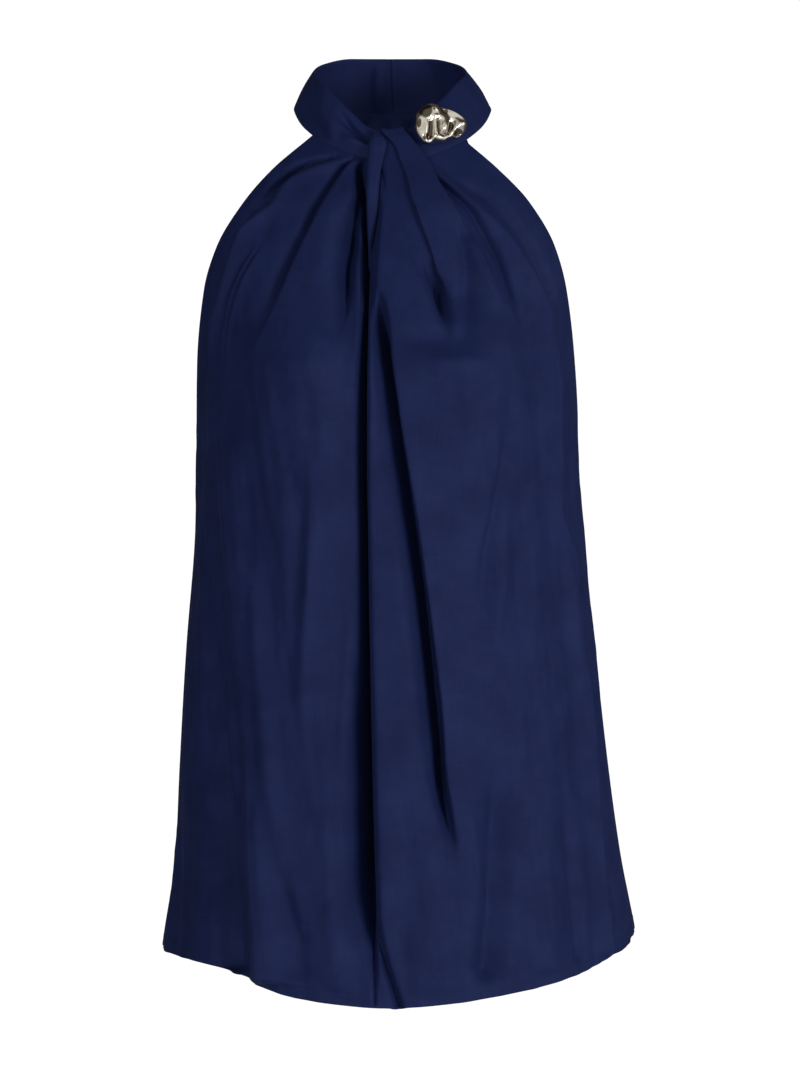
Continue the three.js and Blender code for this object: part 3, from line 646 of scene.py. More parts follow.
# %% The washed satin group
def washed_satin():
    inputs = [("Dark", "NodeSocketColor", None), ("Light", "NodeSocketColor", None),
              ("Clouds", "NodeSocketFloat", 1.0), ("Weave", "NodeSocketFloat", 1.0)]
    outputs = [("Colour", "NodeSocketColor"), ("Roughness", "NodeSocketFloat"),
               ("Height", "NodeSocketFloat")]
    group, given, result = new_group("washed_satin", inputs, outputs)
    cut = node(group, "ShaderNodeUVMap", uv_map="cut").outputs["UV"]

    def noise(scale, detail, roughness, stretch=None):
        """Noise over the cut cloth. stretch is its own scale across the cloth and along it."""
        place = cut
        if stretch:
            place = node(group, "ShaderNodeMapping", in_Vector=cut, in_Scale=stretch).outputs["Vector"]
        made = node(group, "ShaderNodeTexNoise", in_Vector=place, in_Scale=scale, in_Detail=detail,
                    in_Roughness=roughness)
        return made.outputs["Fac"]

    def sum_of(first, second):
        return node(group, "ShaderNodeMath", operation="ADD", in_0=first, in_1=second).outputs["Value"]

    def times_plus(value, factor, more, held):
        made = node(group, "ShaderNodeMath", operation="MULTIPLY_ADD", use_clamp=held, in_0=value,
                    in_1=factor, in_2=more)
        return made.outputs["Value"]

    threads = sum_of(noise(1.0, 3.0, 0.55, (900, 45, 1)), noise(1.0, 2.0, 0.5, (60, 1100, 1)))
    spread = map_range(group, noise(26.0, 4.0, 0.6), 0.32, 0.68, 0, 1)
    thread_tone = map_range(group, threads, 0.7, 1.3, -0.25, 0.25)
    tone = times_plus(spread, given.outputs["Clouds"], thread_tone, True)
    colour = node(group, "ShaderNodeMix", data_type="RGBA", in_Factor=tone, in_A=given.outputs["Dark"],
                  in_B=given.outputs["Light"])
    grain = noise(2600.0, 1.0, 0.5)
    group.links.new(colour.outputs["Result"], result.inputs["Colour"])
    group.links.new(map_range(group, tone, 0, 1, 0.76, 0.66), result.inputs["Roughness"])
    group.links.new(times_plus(grain, given.outputs["Weave"], threads, False), result.inputs["Height"])
    return group


SATIN_GROUP = washed_satin()
print("washed satin group:", len(SATIN_GROUP.nodes), "nodes")

# %% [markdown]
# ## Two satins
# The body and the neckband are the same cloth. The band's colours are a little lighter: partly painted
# light, because it faces up, and partly because it is doubled. A washed satin reflects little, so its
# specular level is low, and a faint blue sheen stands for its nap.

# %% The satin materials
def satin_material(name, dark, light, clouds, weave):
    material, tree, surface = new_material(name)
    cloth = node(tree, "ShaderNodeGroup", node_tree=SATIN_GROUP, in_Dark=(*dark, 1),
                 in_Light=(*light, 1), in_Clouds=clouds, in_Weave=weave)
    bump = node(tree, "ShaderNodeBump", in_Strength=0.3, in_Distance=0.00012,
                in_Height=cloth.outputs["Height"])
    tree.links.new(cloth.outputs["Colour"], surface.inputs["Base Color"])
    tree.links.new(cloth.outputs["Roughness"], surface.inputs["Roughness"])
    tree.links.new(bump.outputs["Normal"], surface.inputs["Normal"])
    surface.inputs["Specular IOR Level"].default_value = 0.1
    surface.inputs["Sheen Weight"].default_value = 0.02
    surface.inputs["Sheen Roughness"].default_value = 0.35
    surface.inputs["Sheen Tint"].default_value = (0.42, 0.46, 0.85, 1)
    return material


BODY_SATIN = satin_material("body_satin", (0.0058, 0.0108, 0.050), (0.0088, 0.0160, 0.070), 0.8, 0.8)
# the band's satin, a little lighter: partly painted light for its upward face, partly its doubled cloth
BAND_SATIN_PAINTED_LIGHTER = satin_material("band_satin", (0.0062, 0.0114, 0.051), (0.0092, 0.0164, 0.070), 0.7, 0.8)
print("satins:", BODY_SATIN.name, "and", BAND_SATIN_PAINTED_LIGHTER.name)

# %% [markdown]
# ## The two fronts
# Each front is one sheet from the hem to the band. The extra thickness near the hem is its narrow turn-
# up.

# %% Fronts
CLOTH = 0.8
CLOTH_EDGE = 0.9
HEM_TURN = 9.0
HEM_EXTRA = 0.7
HEM_STEP = 0.8
FRONT_SIZE = dict(wide=150, long=620)
# the columns lie closer together near the centre seam
SEAM_CROWDING = 1.25


def hem_thickness(above_hem):
    return CLOTH + HEM_EXTRA * ease((HEM_TURN - above_hem) / HEM_STEP)


def dress(piece, material, node_names):
    """Gives a piece its material, and lets it take the place of the solids that it stands for."""
    piece.data.materials.append(material)
    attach(piece, "root")
    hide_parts(*node_names)


def make_front(side, name, cols, rows):
    across = border_steps(cols, FRONT_SIZE["wide"], CLOTH_EDGE) ** SEAM_CROWDING
    if side < 0:
        across = across[::-1]
    from_seam, up = np.meshgrid(across, border_steps(rows, FRONT_SIZE["long"], CLOTH_EDGE))
    points, girth, z = front_point(side, from_seam, up)
    uv = np.stack([girth, z], -1)
    thick = hem_thickness(running_length(points, 0))
    return sheet_mesh(name, points, uv, thick, CLOTH_EDGE), points


front_left, left_points = make_front(-1, "satin_front_left", 160, 240)
front_right, right_points = make_front(1, "satin_front_right", 170, 240)
dress(front_left, BODY_SATIN, ["front_left"])
dress(front_right, BODY_SATIN, ["front_right"])


def sheet_area(points):
    """The area of a grid of points in square metres."""
    across = np.diff(points, axis=1)[:-1]
    upward = np.diff(points, axis=0)[:, :-1]
    return float(np.linalg.norm(np.cross(across, upward), axis=-1).sum() * MM * MM)


print("areas", round(sheet_area(left_points), 4), round(sheet_area(right_points), 4))

# %% [markdown]
# ## The back
# It is a plain panel that hangs from the nape in soft flutes, with the same turn-up at its hem.

# %% Back
BACK_SIZE = dict(wide=320, long=640)


def back_panel(cols, rows):
    across = border_steps(cols, BACK_SIZE["wide"], CLOTH_EDGE)
    share, up = np.meshgrid(1 - 2 * across, border_steps(rows, BACK_SIZE["long"], CLOTH_EDGE))
    degrees = np.where(share < 0, -1.0, 1.0) * mix(180, BACK_CORNER, np.abs(share))
    points, girth, z = panel(BACK, BACK_FOLDS, BACK_HEM, share, up, degrees, 1)
    uv = np.stack([-girth, z], -1)
    thick = hem_thickness(running_length(points, 0))
    return sheet_mesh("satin_back", points, uv, thick, CLOTH_EDGE), points


back, back_points = back_panel(170, 220)
dress(back, BODY_SATIN, ["back"])
print("back area", round(sheet_area(back_points), 4))

# %% [markdown]
# ## The neckband
# It is doubled cloth with a folded upper edge. The twist of the knot pulls it into a few soft creases
# beside the throat on the left, and it has a shallow dent on the right and beside its seam at the nape.

# %% Band creases and halves
BAND_WALL = 2.2
BAND_HEIGHT = 30
BAND_LENGTH = 200
BAND_ROUND = 1.3
# where the creases set in, as shares from the lower and from the upper edge
BAND_BORDER = dict(lower=0.12, upper=0.1)
# how many mm of the band one degree is, on its whole and at the nape
ARC = 1.2
NAPE_ARC = 1.15
# the seam allowance inside the band at the nape, in mm
ALLOWANCE = dict(thick=0.7, away=1.8, reach=1.3)
BAND_FOLDS = [
    # path of (degrees, share), height in mm, width below and above in mm, fades at the two ends in degrees
    ([(-42, 0.78), (-33, 0.64), (-24, 0.56), (-14, 0.5), (-7, 0.48)], -6.0, 1.8, 4.4, 14, 1),
    ([(-36, 0.3), (-28, 0.34), (-20, 0.38), (-12, 0.36), (-7, 0.38)], 3.0, 5, 1.8, 12, 1),
    ([(-60, 0.6), (-46, 0.55), (-38, 0.5), (-30, 0.46)], 2.4, 8, 6, 14, 10),
    ([(-80, 0.35), (-66, 0.3), (-52, 0.22), (-36, 0.12)], -2.6, 5, 6, 14, 12),
    ([(50, 0.5), (60, 0.6), (72, 0.7)], -1.0, 7, 7, 10, 10),
    ([(8, 0.55), (14, 0.7), (20, 0.88)], -1.2, 2.5, 2.5, 3, 4),
]
NAPE_DENTS = [
    # angle, height in mm, and the width before and after it, in degrees
    (-171, -4.2, 5, 3.0), (-159, 1.4, 6, 5), (-150, 1.2, 9, 9), (166, -1.2, 8, 8), (148, 1.0, 9, 9),
]


def band_rise(degrees, share):
    rise = np.zeros_like(degrees)
    for path, height, below, above, start, end in BAND_FOLDS:
        turn_at, share_at = np.array(path, float).T
        away = (share - smooth(turn_at, share_at)(degrees)) * BAND_HEIGHT
        width = np.where(away < 0, below, above)
        fade = ease((degrees - turn_at.min()) / start) * ease((turn_at.max() - degrees) / end)
        rise += height * fade * np.exp(-(away / width) ** 2)
    for turn_at, height, before, after in NAPE_DENTS:
        away = degrees - turn_at
        width = np.where(away < 0, before, after)
        rise += height * np.exp(-(away / width) ** 2) * np.sin(np.pi * np.clip(share, 0, 1)) ** 0.6
    rise += 0.35 * unevenness(7, degrees * ARC, share * BAND_HEIGHT, 9, 7)
    return rise * ease(share / BAND_BORDER["lower"]) * ease((1 - share) / BAND_BORDER["upper"])


def band_half(name, start, end, cols, rows):
    turn = mix(start, end, border_steps(cols, BAND_LENGTH, BAND_ROUND))
    degrees, share = np.meshgrid(turn, border_steps(rows, BAND_HEIGHT, BAND_ROUND))
    points = band_point(degrees, share) + band_out(degrees) * band_rise(degrees, share)[..., None]
    uv = np.stack([degrees * ARC, share * BAND_HEIGHT], -1)
    from_nape = (180 - np.abs(degrees)) * NAPE_ARC
    beyond = (from_nape - ALLOWANCE["away"]) / ALLOWANCE["reach"]
    thick = BAND_WALL + ALLOWANCE["thick"] * np.exp(-beyond ** 2)
    return sheet_mesh(name, points, uv, thick, BAND_ROUND), points


BAND_MEET = -7
BAND_LAP = 0.3
NAPE = 180.2
band_left, band_left_points = band_half("neckband_left_cloth", -NAPE, BAND_MEET + BAND_LAP, 170, 36)
band_right, band_right_points = band_half("neckband_right_cloth", BAND_MEET - BAND_LAP, NAPE, 170, 36)
dress(band_left, BAND_SATIN_PAINTED_LIGHTER, ["neckband_left"])
dress(band_right, BAND_SATIN_PAINTED_LIGHTER, ["neckband_right"])
print("band areas", round(sheet_area(band_left_points), 4), round(sheet_area(band_right_points), 4))

# %% [markdown]
# ## The knot
# The right front's gathers wrap over the band at the throat. The wrap lies on the band above and on the
# right front below, so its points are theirs, moved out. Its edges are given as they are seen from the
# front, and the script finds them on the cloth.

# %% The wrap's bed and edges
WRAP_LEFT = smooth([-120, -90, -68, -49, -38, -31, -26], [-12, -11.5, -11, -9.5, -8.5, -8, -8])
WRAP_STEP = smooth([-184, -170, -155, -145, -135, -125, -114, -100, -87,
                    -82, -67, -56, -48, -40, -37, -35, -30, -26],
                   [45, 42.5, 41.5, 40, 35.2, 32.1, 28.6, 23.3, 19.2,
                    17, 13.4, 9.9, 6.7, 4.1, 1.7, 0.2, -4.5, -6])
WRAP_RIGHT = smooth([-190, -181, -155, -126, -96, -68, -50, -41, -33, -26, -20],
                    [101, 99, 83, 69, 55, 38.8, 29.9, 24, 18.5, 12.5, 11])
WRAP_REACH = 0.215


def wrap_bed(share, level):
    """level is -1 at the wrap's foot, 0 at the neck seam, 1 at the band's top, and more over its top."""
    up = 1 + np.minimum(level, 0) * WRAP_REACH
    smooth_bed = front_point(1, share, up, [fold for fold in FRONT_FOLDS if fold is not FLAP_TROUGH])[0]
    creased_bed = front_point(1, share, up)[0]
    below = mix(smooth_bed, creased_bed, ease((-0.5 - level) / 0.4)[..., None])
    degrees = mix(FRONT_CORNERS["seam"], FRONT_CORNERS["right"], share)
    above = band_point(degrees, np.clip(level, 0, 1))
    on_band = ease((level + 0.03) / 0.1)[..., None]
    return mix(below, above, on_band), degrees


def bridge(bed, level, start, end):
    """Pulls the cloth taut over the hollow at the neck seam, from the row at start to the row at end."""
    first = int(np.searchsorted(level, start))
    last = int(np.searchsorted(level, end))
    z = bed[..., 2]
    y = bed[..., 1]
    run = z[last] - z[first]
    t = (z[first:last + 1] - z[first]) / run
    slope_first = (y[first] - y[first - 4]) / (z[first] - z[first - 4])
    slope_last = (y[last + 4] - y[last]) / (z[last + 4] - z[last])
    taut = bed.copy()
    taut[first:last + 1, :, 1] = (
        y[first] * (1 - t) ** 2 * (1 + 2 * t)
        + y[last] * t * t * (3 - 2 * t)
        + run * slope_first * t * (1 - t) ** 2
        - run * slope_last * t * t * (1 - t)
    )
    return taut


def crossing(level, path):
    """The share at which a level crosses an edge that is given as x by height."""
    shares = np.linspace(0, 0.95, 160)
    found = []
    for one in level:
        point = wrap_bed(shares, np.full_like(shares, one))[0]
        beyond = point[:, 0] - path(point[:, 2])
        found.append(np.interp(0, np.maximum.accumulate(beyond), shares))
    return np.array(found)


# %% [markdown]
# ## The wrap as a sheet
# A low part on the left starts under the strand. Then comes a step, where the cloth folds over, and the
# raised part to its right, whose far edge is pressed into the cloth below it. At the top the cloth
# curls over the band and ends inside it.

# %% The wrap
# columns of the low part and of the raised part
WRAP_COLUMNS = dict(low=22, raised=56)
# heights over the bed in mm, at the wrap's foot and on the band
WRAP_LOW = dict(foot=-1.5, band=0.7, start=0.34, run=0.32)
WRAP_RAISED = dict(foot=-1.1, band=3.2, run=0.7, crown=1.1, edge=-0.6)
# widths in mm of the step's wall and of the rounded right edge
STEP_WALL = 1.5
RIGHT_ROUND = 1.8
# the levels between which the cloth is taut
TAUT = (-0.34, 0.42)
# the trough at the left edge, beside the strand
GAP_X = smooth([-120, -96, -80, -67, -59, -50, -44], [-9.1, -8.2, -7, -6.1, -5.7, -4.8, -3.6])
GAP = dict(depth=9, width=2.6, top=-0.02, run=0.16)
WRAP_CURL = dict(inward=30, down=60)
WRAP_ROUND = 0.7
WRAP_WALL = 0.9


def wrap_sheet():
    below = -(np.linspace(1, 0, 110) ** 1.3)
    heights = np.concatenate([below, np.linspace(0.025, 1, 40), [1.05, 1.12, 1.2]])
    left = crossing(heights, WRAP_LEFT)[:, None]
    step = crossing(heights, WRAP_STEP)[:, None]
    right = crossing(heights, WRAP_RIGHT)[:, None]
    span = np.linspace(0, 1, WRAP_COLUMNS["low"])
    crowd = (1 - np.cos(np.linspace(0, np.pi, WRAP_COLUMNS["raised"]))) / 2
    share = np.concatenate([mix(left, step, span[:-1]), mix(step, right, crowd)], axis=1)
    level = np.repeat(heights[:, None], share.shape[1], axis=1)
    bed, degrees = wrap_bed(share, level)
    bed = bridge(bed, heights, *TAUT)
    across = running_length(bed, 1)
    step_column = WRAP_COLUMNS["low"] - 1
    step_at = across[:, step_column:step_column + 1]
    edge_at = across[:, -1:]
    low = mix(WRAP_LOW["foot"], WRAP_LOW["band"], ease((level + WRAP_LOW["start"]) / WRAP_LOW["run"]))
    risen = ease((level + 1) / WRAP_RAISED["run"])
    raised = mix(WRAP_RAISED["foot"], WRAP_RAISED["band"], risen)
    from_step = np.clip((across - step_at) / (edge_at - step_at), 0, 1)
    raised = raised + WRAP_RAISED["crown"] * risen * np.sin(np.pi * from_step)
    height = mix(low, raised, ease((across - step_at) / STEP_WALL))
    height = mix(WRAP_RAISED["edge"], height, ease((edge_at - across) / RIGHT_ROUND))
    from_gap = (bed[..., 0] - GAP_X(bed[..., 2])) / GAP["width"]
    height -= GAP["depth"] * np.exp(-from_gap ** 2) * ease((GAP["top"] - level) / GAP["run"])
    out = unit(mix(band_out(degrees), grid_normals(bed), 0.4))
    over = np.clip(level - 1, 0, 1)[..., None]
    curl = stack(0, 1, 0) * over * WRAP_CURL["inward"] - stack(0, 0, 1) * over * over * WRAP_CURL["down"]
    uv = np.stack([across, bed[..., 2]], -1)
    return bed + out * height[..., None] + curl, uv


wrap_points, wrap_uv = wrap_sheet()
wrap = sheet_mesh("knot_wrap_cloth", wrap_points, wrap_uv, WRAP_WALL, WRAP_ROUND)
dress(wrap, BODY_SATIN, ["knot_flap"])
print("wrap area", round(sheet_area(wrap_points), 5))

# %% [markdown]
# ## The strand
# A narrow twist of the cloth lies over the crossing, broad at the throat and thin where it sinks into
# the centre trough. It is a loft: oval rings along a line, each with its own width.

# %% Strand
STRAND = columns("t x y z half thick", [
    (0.0, -9.8, -53.0, -27.6, 0.7, 0.6),
    (0.04, -9.5, -56.5, -29.0, 1.6, 1.0),
    (0.09, -8.8, -60.0, -31.6, 3.4, 1.6),
    (0.14, -8.0, -62.6, -34.8, 5.6, 2.1),
    (0.2, -7.7, -64.8, -39.0, 6.6, 2.5),
    (0.27, -8.4, -66.6, -44.0, 6.3, 2.7),
    (0.36, -9.7, -69.2, -52.0, 5.8, 2.8),
    (0.46, -10.7, -72.4, -62.0, 5.1, 2.8),
    (0.58, -11.2, -76.4, -76.0, 4.7, 2.7),
    (0.7, -11.4, -79.0, -90.0, 4.3, 2.4),
    (0.82, -12.1, -80.4, -103.0, 3.0, 1.9),
    (0.92, -12.8, -80.6, -116.0, 1.6, 1.3),
    (1.0, -13.6, -79.0, -134.0, 0.25, 0.3),
])
# the groove along its upper side, which shows the twist, and how far it wanders
GROOVE = dict(depth=0.09, at=0.25, width=0.16, wander=0.5, turn=5.0)
# how flat the underside is, and how much the upper side leans to the left
UNDERSIDE = 0.55
STRAND_LEAN = 0.35


def strand_mesh(sides, steps):
    t = np.linspace(0, 1, steps)
    x = STRAND["x"](t)
    z = STRAND["z"](t)
    line = stack(x, STRAND["y"](t), z)
    along = unit(np.gradient(line, axis=0))
    side = unit(stack(1, 0, 0) - along * along[:, :1])
    out = np.cross(along, side)
    out *= -np.sign(out[:, 1:2])
    angle = np.linspace(0, 2 * np.pi, sides, endpoint=False)
    wander = GROOVE["wander"] * np.sin(t * GROOVE["turn"])[:, None]
    around = angle[None, :]
    upper = np.sin(around) > 0
    from_groove = (np.cos(around) + GROOVE["at"] - wander) / GROOVE["width"]
    groove = 1 - GROOVE["depth"] * np.exp(-from_groove ** 2) * upper
    flat = np.where(np.sin(around) < 0, UNDERSIDE, 1.0)
    wide = STRAND["half"](t)[:, None] * np.cos(around)
    lean = 1 - STRAND_LEAN * np.cos(around) * upper
    high = STRAND["thick"](t)[:, None] * np.sin(around) * flat * groove * lean
    points = line[:, None] + side[:, None] * wide[..., None] + out[:, None] * high[..., None]
    index = np.arange(steps * sides).reshape(steps, sides)
    index = np.concatenate([index, index[:, :1]], axis=1)
    uv = np.stack([np.broadcast_to(around * 4, points.shape[:2]), np.repeat(z[:, None], sides, 1)], -1)
    faces = quads(index).tolist() + [index[0, :-1].tolist(), index[-1, :-1][::-1].tolist()]
    mesh_points = points.reshape(-1, 3)
    normal = np.cross(mesh_points[faces[0][1]] - mesh_points[faces[0][0]],
                      mesh_points[faces[0][2]] - mesh_points[faces[0][0]])
    if np.dot(normal, mesh_points[faces[0][0]] - line[0]) < 0:
        faces = [face[::-1] for face in faces]
    return new_mesh("knot_strand_cloth", mesh_points, faces, uv.reshape(-1, 2))


strand = strand_mesh(48, 150)
dress(strand, BODY_SATIN, ["knot_strand"])
print("strand", len(strand.data.polygons), "faces")

# %% [markdown]
# ## The button
# It is cast metal, shaped like a pebble of molten silver: an uneven outline, and a face of soft domes
# with creases between them. The face is drawn as it is seen from the front, in mm round the button's
# middle, and then turned to lie on the neckband, so the table below can be read beside the real one.

# %% Where the button sits
BUTTON = dict(turn=31, share=0.5, stand=3.4, deep=12, back=3.6, rim=2.2)
seat = band_point(BUTTON["turn"], BUTTON["share"])
button_along = unit(band_point(BUTTON["turn"] + 2, BUTTON["share"]) - seat)
button_up = unit(band_point(BUTTON["turn"], BUTTON["share"] + 0.1) - seat)
button_out = unit(np.cross(button_along, button_up))
button_up = np.cross(button_out, button_along)
button_middle = seat + button_out * (BUTTON["stand"] + BUTTON["back"])
print("button middle", button_middle.round(1))

# %% [markdown]
# ## The button's outline and face
# The outline is a radius for each angle. Domes and creases are laid over the face, as a caster's wax
# would be pressed and pinched. Painted dark reflections on some parts of the face and painted shade
# along its grooves make them darker than the rest, and two short lists say where.

# %% The button's outline and face
OUTLINE = [
    # angle in degrees, radius in mm
    (-14, 18.7), (-5, 19.3), (5, 18.5), (15, 17.3), (30, 15.0), (48, 13.3), (72, 12.6), (91, 13.2),
    (106, 15.5), (119, 17.7), (133, 18.5), (148, 19.3), (163, 19.7), (180, 19.2), (200, 19.5), (221, 19.4),
    (239, 17.9), (250, 15.8), (263, 14.7), (276, 14.5), (291, 13.3), (307, 13.4), (318, 15.4), (330, 16.9),
]
DOMES = [
    # across, up, height, half width, half height
    (-12.6, 7.8, 2.4, 5.6, 6.8), (1.1, -4.5, 2.4, 3.8, 5.4), (-5.7, 9.8, 1.8, 3.4, 3.6),
    (14.4, -0.6, 1.6, 5.4, 4.4), (2.4, 8.4, -2.2, 3.0, 2.6), (-1.6, 3.4, 0.9, 3.0, 2.8),
    (7.0, 4.2, -1.0, 4.2, 3.0), (12.4, -8.0, -2.0, 5.0, 2.8),
]
CREASES = [
    # points along it, height, half width
    ([(-15.0, 2.0), (-13.0, -1.6), (-13.0, -5.4), (-13.6, -9.8)], 1.4, 3.4),
    ([(-8.6, 0.2), (-8.4, -4.0), (-8.8, -8.0), (-9.6, -11.6)], -2.2, 2.2),
    ([(-5.4, 3.3), (-5.4, -3.0), (-5.4, -7.0), (-5.7, -12.0)], 1.5, 1.9),
    ([(-3.2, 0.8), (-3.0, -4.0), (-1.8, -8.4), (1.2, -10.4), (4.6, -8.6), (6.4, -4.6), (7.2, 0.4)],
     -2.6, 1.9),
    ([(18.0, -0.8), (14.0, -2.6), (10.3, -5.0), (5.4, -10.2), (-0.3, -12.2), (-5.7, -12.8)], 1.6, 2.3),
    ([(4.6, 9.6), (9.0, 8.4), (13.0, 6.4), (17.0, 2.8)], 1.5, 2.0),
]
PAINTED_DARK_REFLECTIONS = [
    # painted dark reflections on the face: across, up, half width, half height
    (-12.7, 8.0, 4.7, 6.5), (12.6, -8.0, 5.0, 2.8), (2.2, 8.3, 2.3, 2.0), (-17.0, -1.4, 1.3, 3.2),
    (-6.7, 8.8, 0.9, 1.1), (6.4, -2.6, 1.9, 3.4), (-11.0, -11.4, 3.2, 2.2),
]
PAINTED_GROOVE_SHADE = [
    # painted shade along the grooves and dents of the face: points along it, half width
    ([(-8.6, -0.4), (-8.4, -5.0), (-8.7, -10.4)], 1.3),
    ([(-3.2, 1.2), (-3.1, -4.4), (-2.0, -8.4), (0.8, -10.0), (4.0, -8.8), (6.2, -5.4)], 0.9),
    ([(-2.8, 13.6), (-1.2, 10.4), (0.4, 8.6)], 0.6),
]


def outline_radius(angle):
    """The outline at an angle. Its rows are repeated before and after them, so that the curve closes."""
    wrapped = [(a + turn, r) for turn in (-360, 0, 360) for a, r in OUTLINE]
    turn_at, radius = np.array(wrapped, float).T
    return smooth(turn_at, radius)(np.degrees(angle) % 360)


def path_distance(u, v, path):
    """The distance of each point from a broken line."""
    nearest = np.full(u.shape, 1e9)
    for (u0, v0), (u1, v1) in zip(path[:-1], path[1:]):
        run = np.array([u1 - u0, v1 - v0])
        t = np.clip(((u - u0) * run[0] + (v - v0) * run[1]) / (run @ run), 0, 1)
        nearest = np.minimum(nearest, np.hypot(u - u0 - t * run[0], v - v0 - t * run[1]))
    return nearest


def relief(u, v):
    rise = np.zeros_like(u)
    for across, up, height, wide, high in DOMES:
        rise += height * np.exp(-((u - across) / wide) ** 2 - ((v - up) / high) ** 2)
    for path, height, width in CREASES:
        rise += height * np.exp(-(path_distance(u, v, path) / width) ** 2)
    return rise


def painted_reflection_shade_share(u, v):
    """Where the painted dark reflections and painted groove shade lie, from 0 to 1, with fairly crisp
    borders.
    """
    share = np.zeros_like(u)
    for across, up, wide, high in PAINTED_DARK_REFLECTIONS:
        away = np.hypot((u - across) / wide, (v - up) / high)
        share = np.maximum(share, ease((1.12 - away) / 0.24))
    for path, width in PAINTED_GROOVE_SHADE:
        share = np.maximum(share, ease((width * 1.35 - path_distance(u, v, path)) / (width * 0.7)))
    return share


# %% [markdown]
# ## The button's mesh
# Rings of points run from the middle of the face over the rim to the middle of the back. The share of
# painted dark reflections and painted groove shade is kept on the mesh as a number for each point, so
# that the metal's material can read it.

# %% The button's mesh
FACE_HIGH = BUTTON["deep"] - BUTTON["back"] - BUTTON["rim"]


def button_mesh(sides, rings):
    angle = np.linspace(0, 2 * np.pi, sides, endpoint=False)
    slope = np.linspace(0, np.pi, rings + 2)[1:-1]
    out_from = np.sin(slope) ** 0.8
    radius = outline_radius(angle)[None, :] * out_from[:, None]
    u = radius * np.cos(angle)
    v = radius * np.sin(angle)
    front = np.clip(np.cos(slope), 0, 1)[:, None]
    rise = front ** 0.8 * FACE_HIGH + relief(u, v) * ease(front / 0.45)
    rise -= np.clip(-np.cos(slope), 0, 1)[:, None] ** 0.7 * BUTTON["back"]
    middle_rise = float(relief(np.zeros(1), np.zeros(1))[0])
    poles = np.array([(0, 0, FACE_HIGH + middle_rise), (0, 0, -BUTTON["back"])])
    seen = np.concatenate([np.stack([u, v, rise], -1).reshape(-1, 3), poles])
    seen_axes = np.array([[button_along[0], button_up[0]], [button_along[2], button_up[2]]])
    local = seen[:, :2] @ np.linalg.inv(seen_axes).T
    points = button_middle + local[:, :1] * button_along + local[:, 1:] * button_up
    points = points + seen[:, 2:] * button_out
    index = np.arange(rings * sides).reshape(rings, sides)
    index = np.concatenate([index, index[:, :1]], axis=1)
    faces = quads(index).tolist()
    front_pole = rings * sides
    back_pole = front_pole + 1
    faces += [[front_pole, a, b] for a, b in zip(index[0, :-1].tolist(), index[0, 1:].tolist())]
    faces += [[back_pole, b, a] for a, b in zip(index[-1, :-1].tolist(), index[-1, 1:].tolist())]
    piece = new_mesh("button_pebble", points, faces)
    # the share of painted dark reflections and painted groove shade, for each point of the face
    painted_reflection_shade = np.append((painted_reflection_shade_share(u, v) * ease(front / 0.3)).ravel(), [0, 0])
    piece.data.attributes.new("painted_reflection_shade", "FLOAT", "POINT").data.foreach_set("value", painted_reflection_shade)
    return piece


def outward_faces(piece):
    """Turns a closed mesh's faces outwards."""
    work = bmesh.new()
    work.from_mesh(piece.data)
    bmesh.ops.recalc_face_normals(work, faces=work.faces)
    work.to_mesh(piece.data)
    work.free()


button = button_mesh(240, 150)
outward_faces(button)
print("button", len(button.data.polygons), "faces, size", (np.array(button.dimensions) / MM).round(1))

# %% [markdown]
# ## Silver
# Polished cast silver is almost a mirror with a warm tint. Fine wear makes its gloss a little uneven,
# so noise feeds the colour, the roughness and a very small bump. The darker parts of the face are
# painted dark reflections and painted shade in the grooves, a dark brown mixed into the colour, and the
# mask on the mesh says where they lie.

# %% Silver material
silver, silver_tree, silver_shader = new_material("warm_silver")
silver_place = node(silver_tree, "ShaderNodeTexCoord").outputs["Object"]
tarnish = node(silver_tree, "ShaderNodeTexNoise", in_Vector=silver_place, in_Scale=240.0, in_Detail=3.0,
               in_Roughness=0.5).outputs["Fac"]
silver_tone = two_tones(silver_tree, tarnish, (0.35, (0.56, 0.52, 0.45)), (0.6, (0.72, 0.685, 0.62)))
# painted dark reflections and painted groove shade: the dark brown below is mixed into the silver's colour
# where this mask lies
painted_reflection_shade_mask = node(silver_tree, "ShaderNodeAttribute", attribute_name="painted_reflection_shade").outputs["Fac"]
silver_colour = node(silver_tree, "ShaderNodeMix", data_type="RGBA", in_Factor=painted_reflection_shade_mask,
                     in_A=silver_tone, in_B=(0.1, 0.083, 0.065, 1))
silver_rough = map_range(silver_tree, tarnish, 0.3, 0.7, 0.17, 0.1)
silver_bump = node(silver_tree, "ShaderNodeBump", in_Strength=0.12, in_Distance=0.0002,
                   in_Height=tarnish)
silver_shader.inputs["Metallic"].default_value = 1.0
silver_tree.links.new(silver_colour.outputs["Result"], silver_shader.inputs["Base Color"])
silver_tree.links.new(silver_rough, silver_shader.inputs["Roughness"])
silver_tree.links.new(silver_bump.outputs["Normal"], silver_shader.inputs["Normal"])
dress(button, silver, ["button"])
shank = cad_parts["button_shank"]
shank.data.materials.clear()
shank.data.materials.append(silver)
print("shank carries", shank.data.materials[0].name)

# %% [markdown]
# ## Hem stitches
# The hem is turned up by 8 mm and held with one row of fine stitches in thread of the same navy. Each
# stitch is a short capsule that lies on the cloth.

# %% Stitch maker
STITCH = dict(above=8.0, pitch=2.7, length=2.0, radius=0.17, sides=6, margin=3)
# rings of a stitch: share of its length, share of its radius
STITCH_RINGS = np.array([(0, 0.35), (0.12, 0.85), (0.5, 1.0), (0.88, 0.85), (1, 0.35)])


def row_above_hem(points, normals, above):
    """Points and normals along the cloth, at a height above the hem."""
    climbed = running_length(points, 0)
    found = []
    for column in range(points.shape[1]):
        k = int(np.searchsorted(climbed[:, column], above))
        t = (above - climbed[k - 1, column]) / (climbed[k, column] - climbed[k - 1, column])
        place = mix(points[k - 1, column], points[k, column], t)
        found.append(np.concatenate([place, normals[k, column]]))
    return np.array(found)


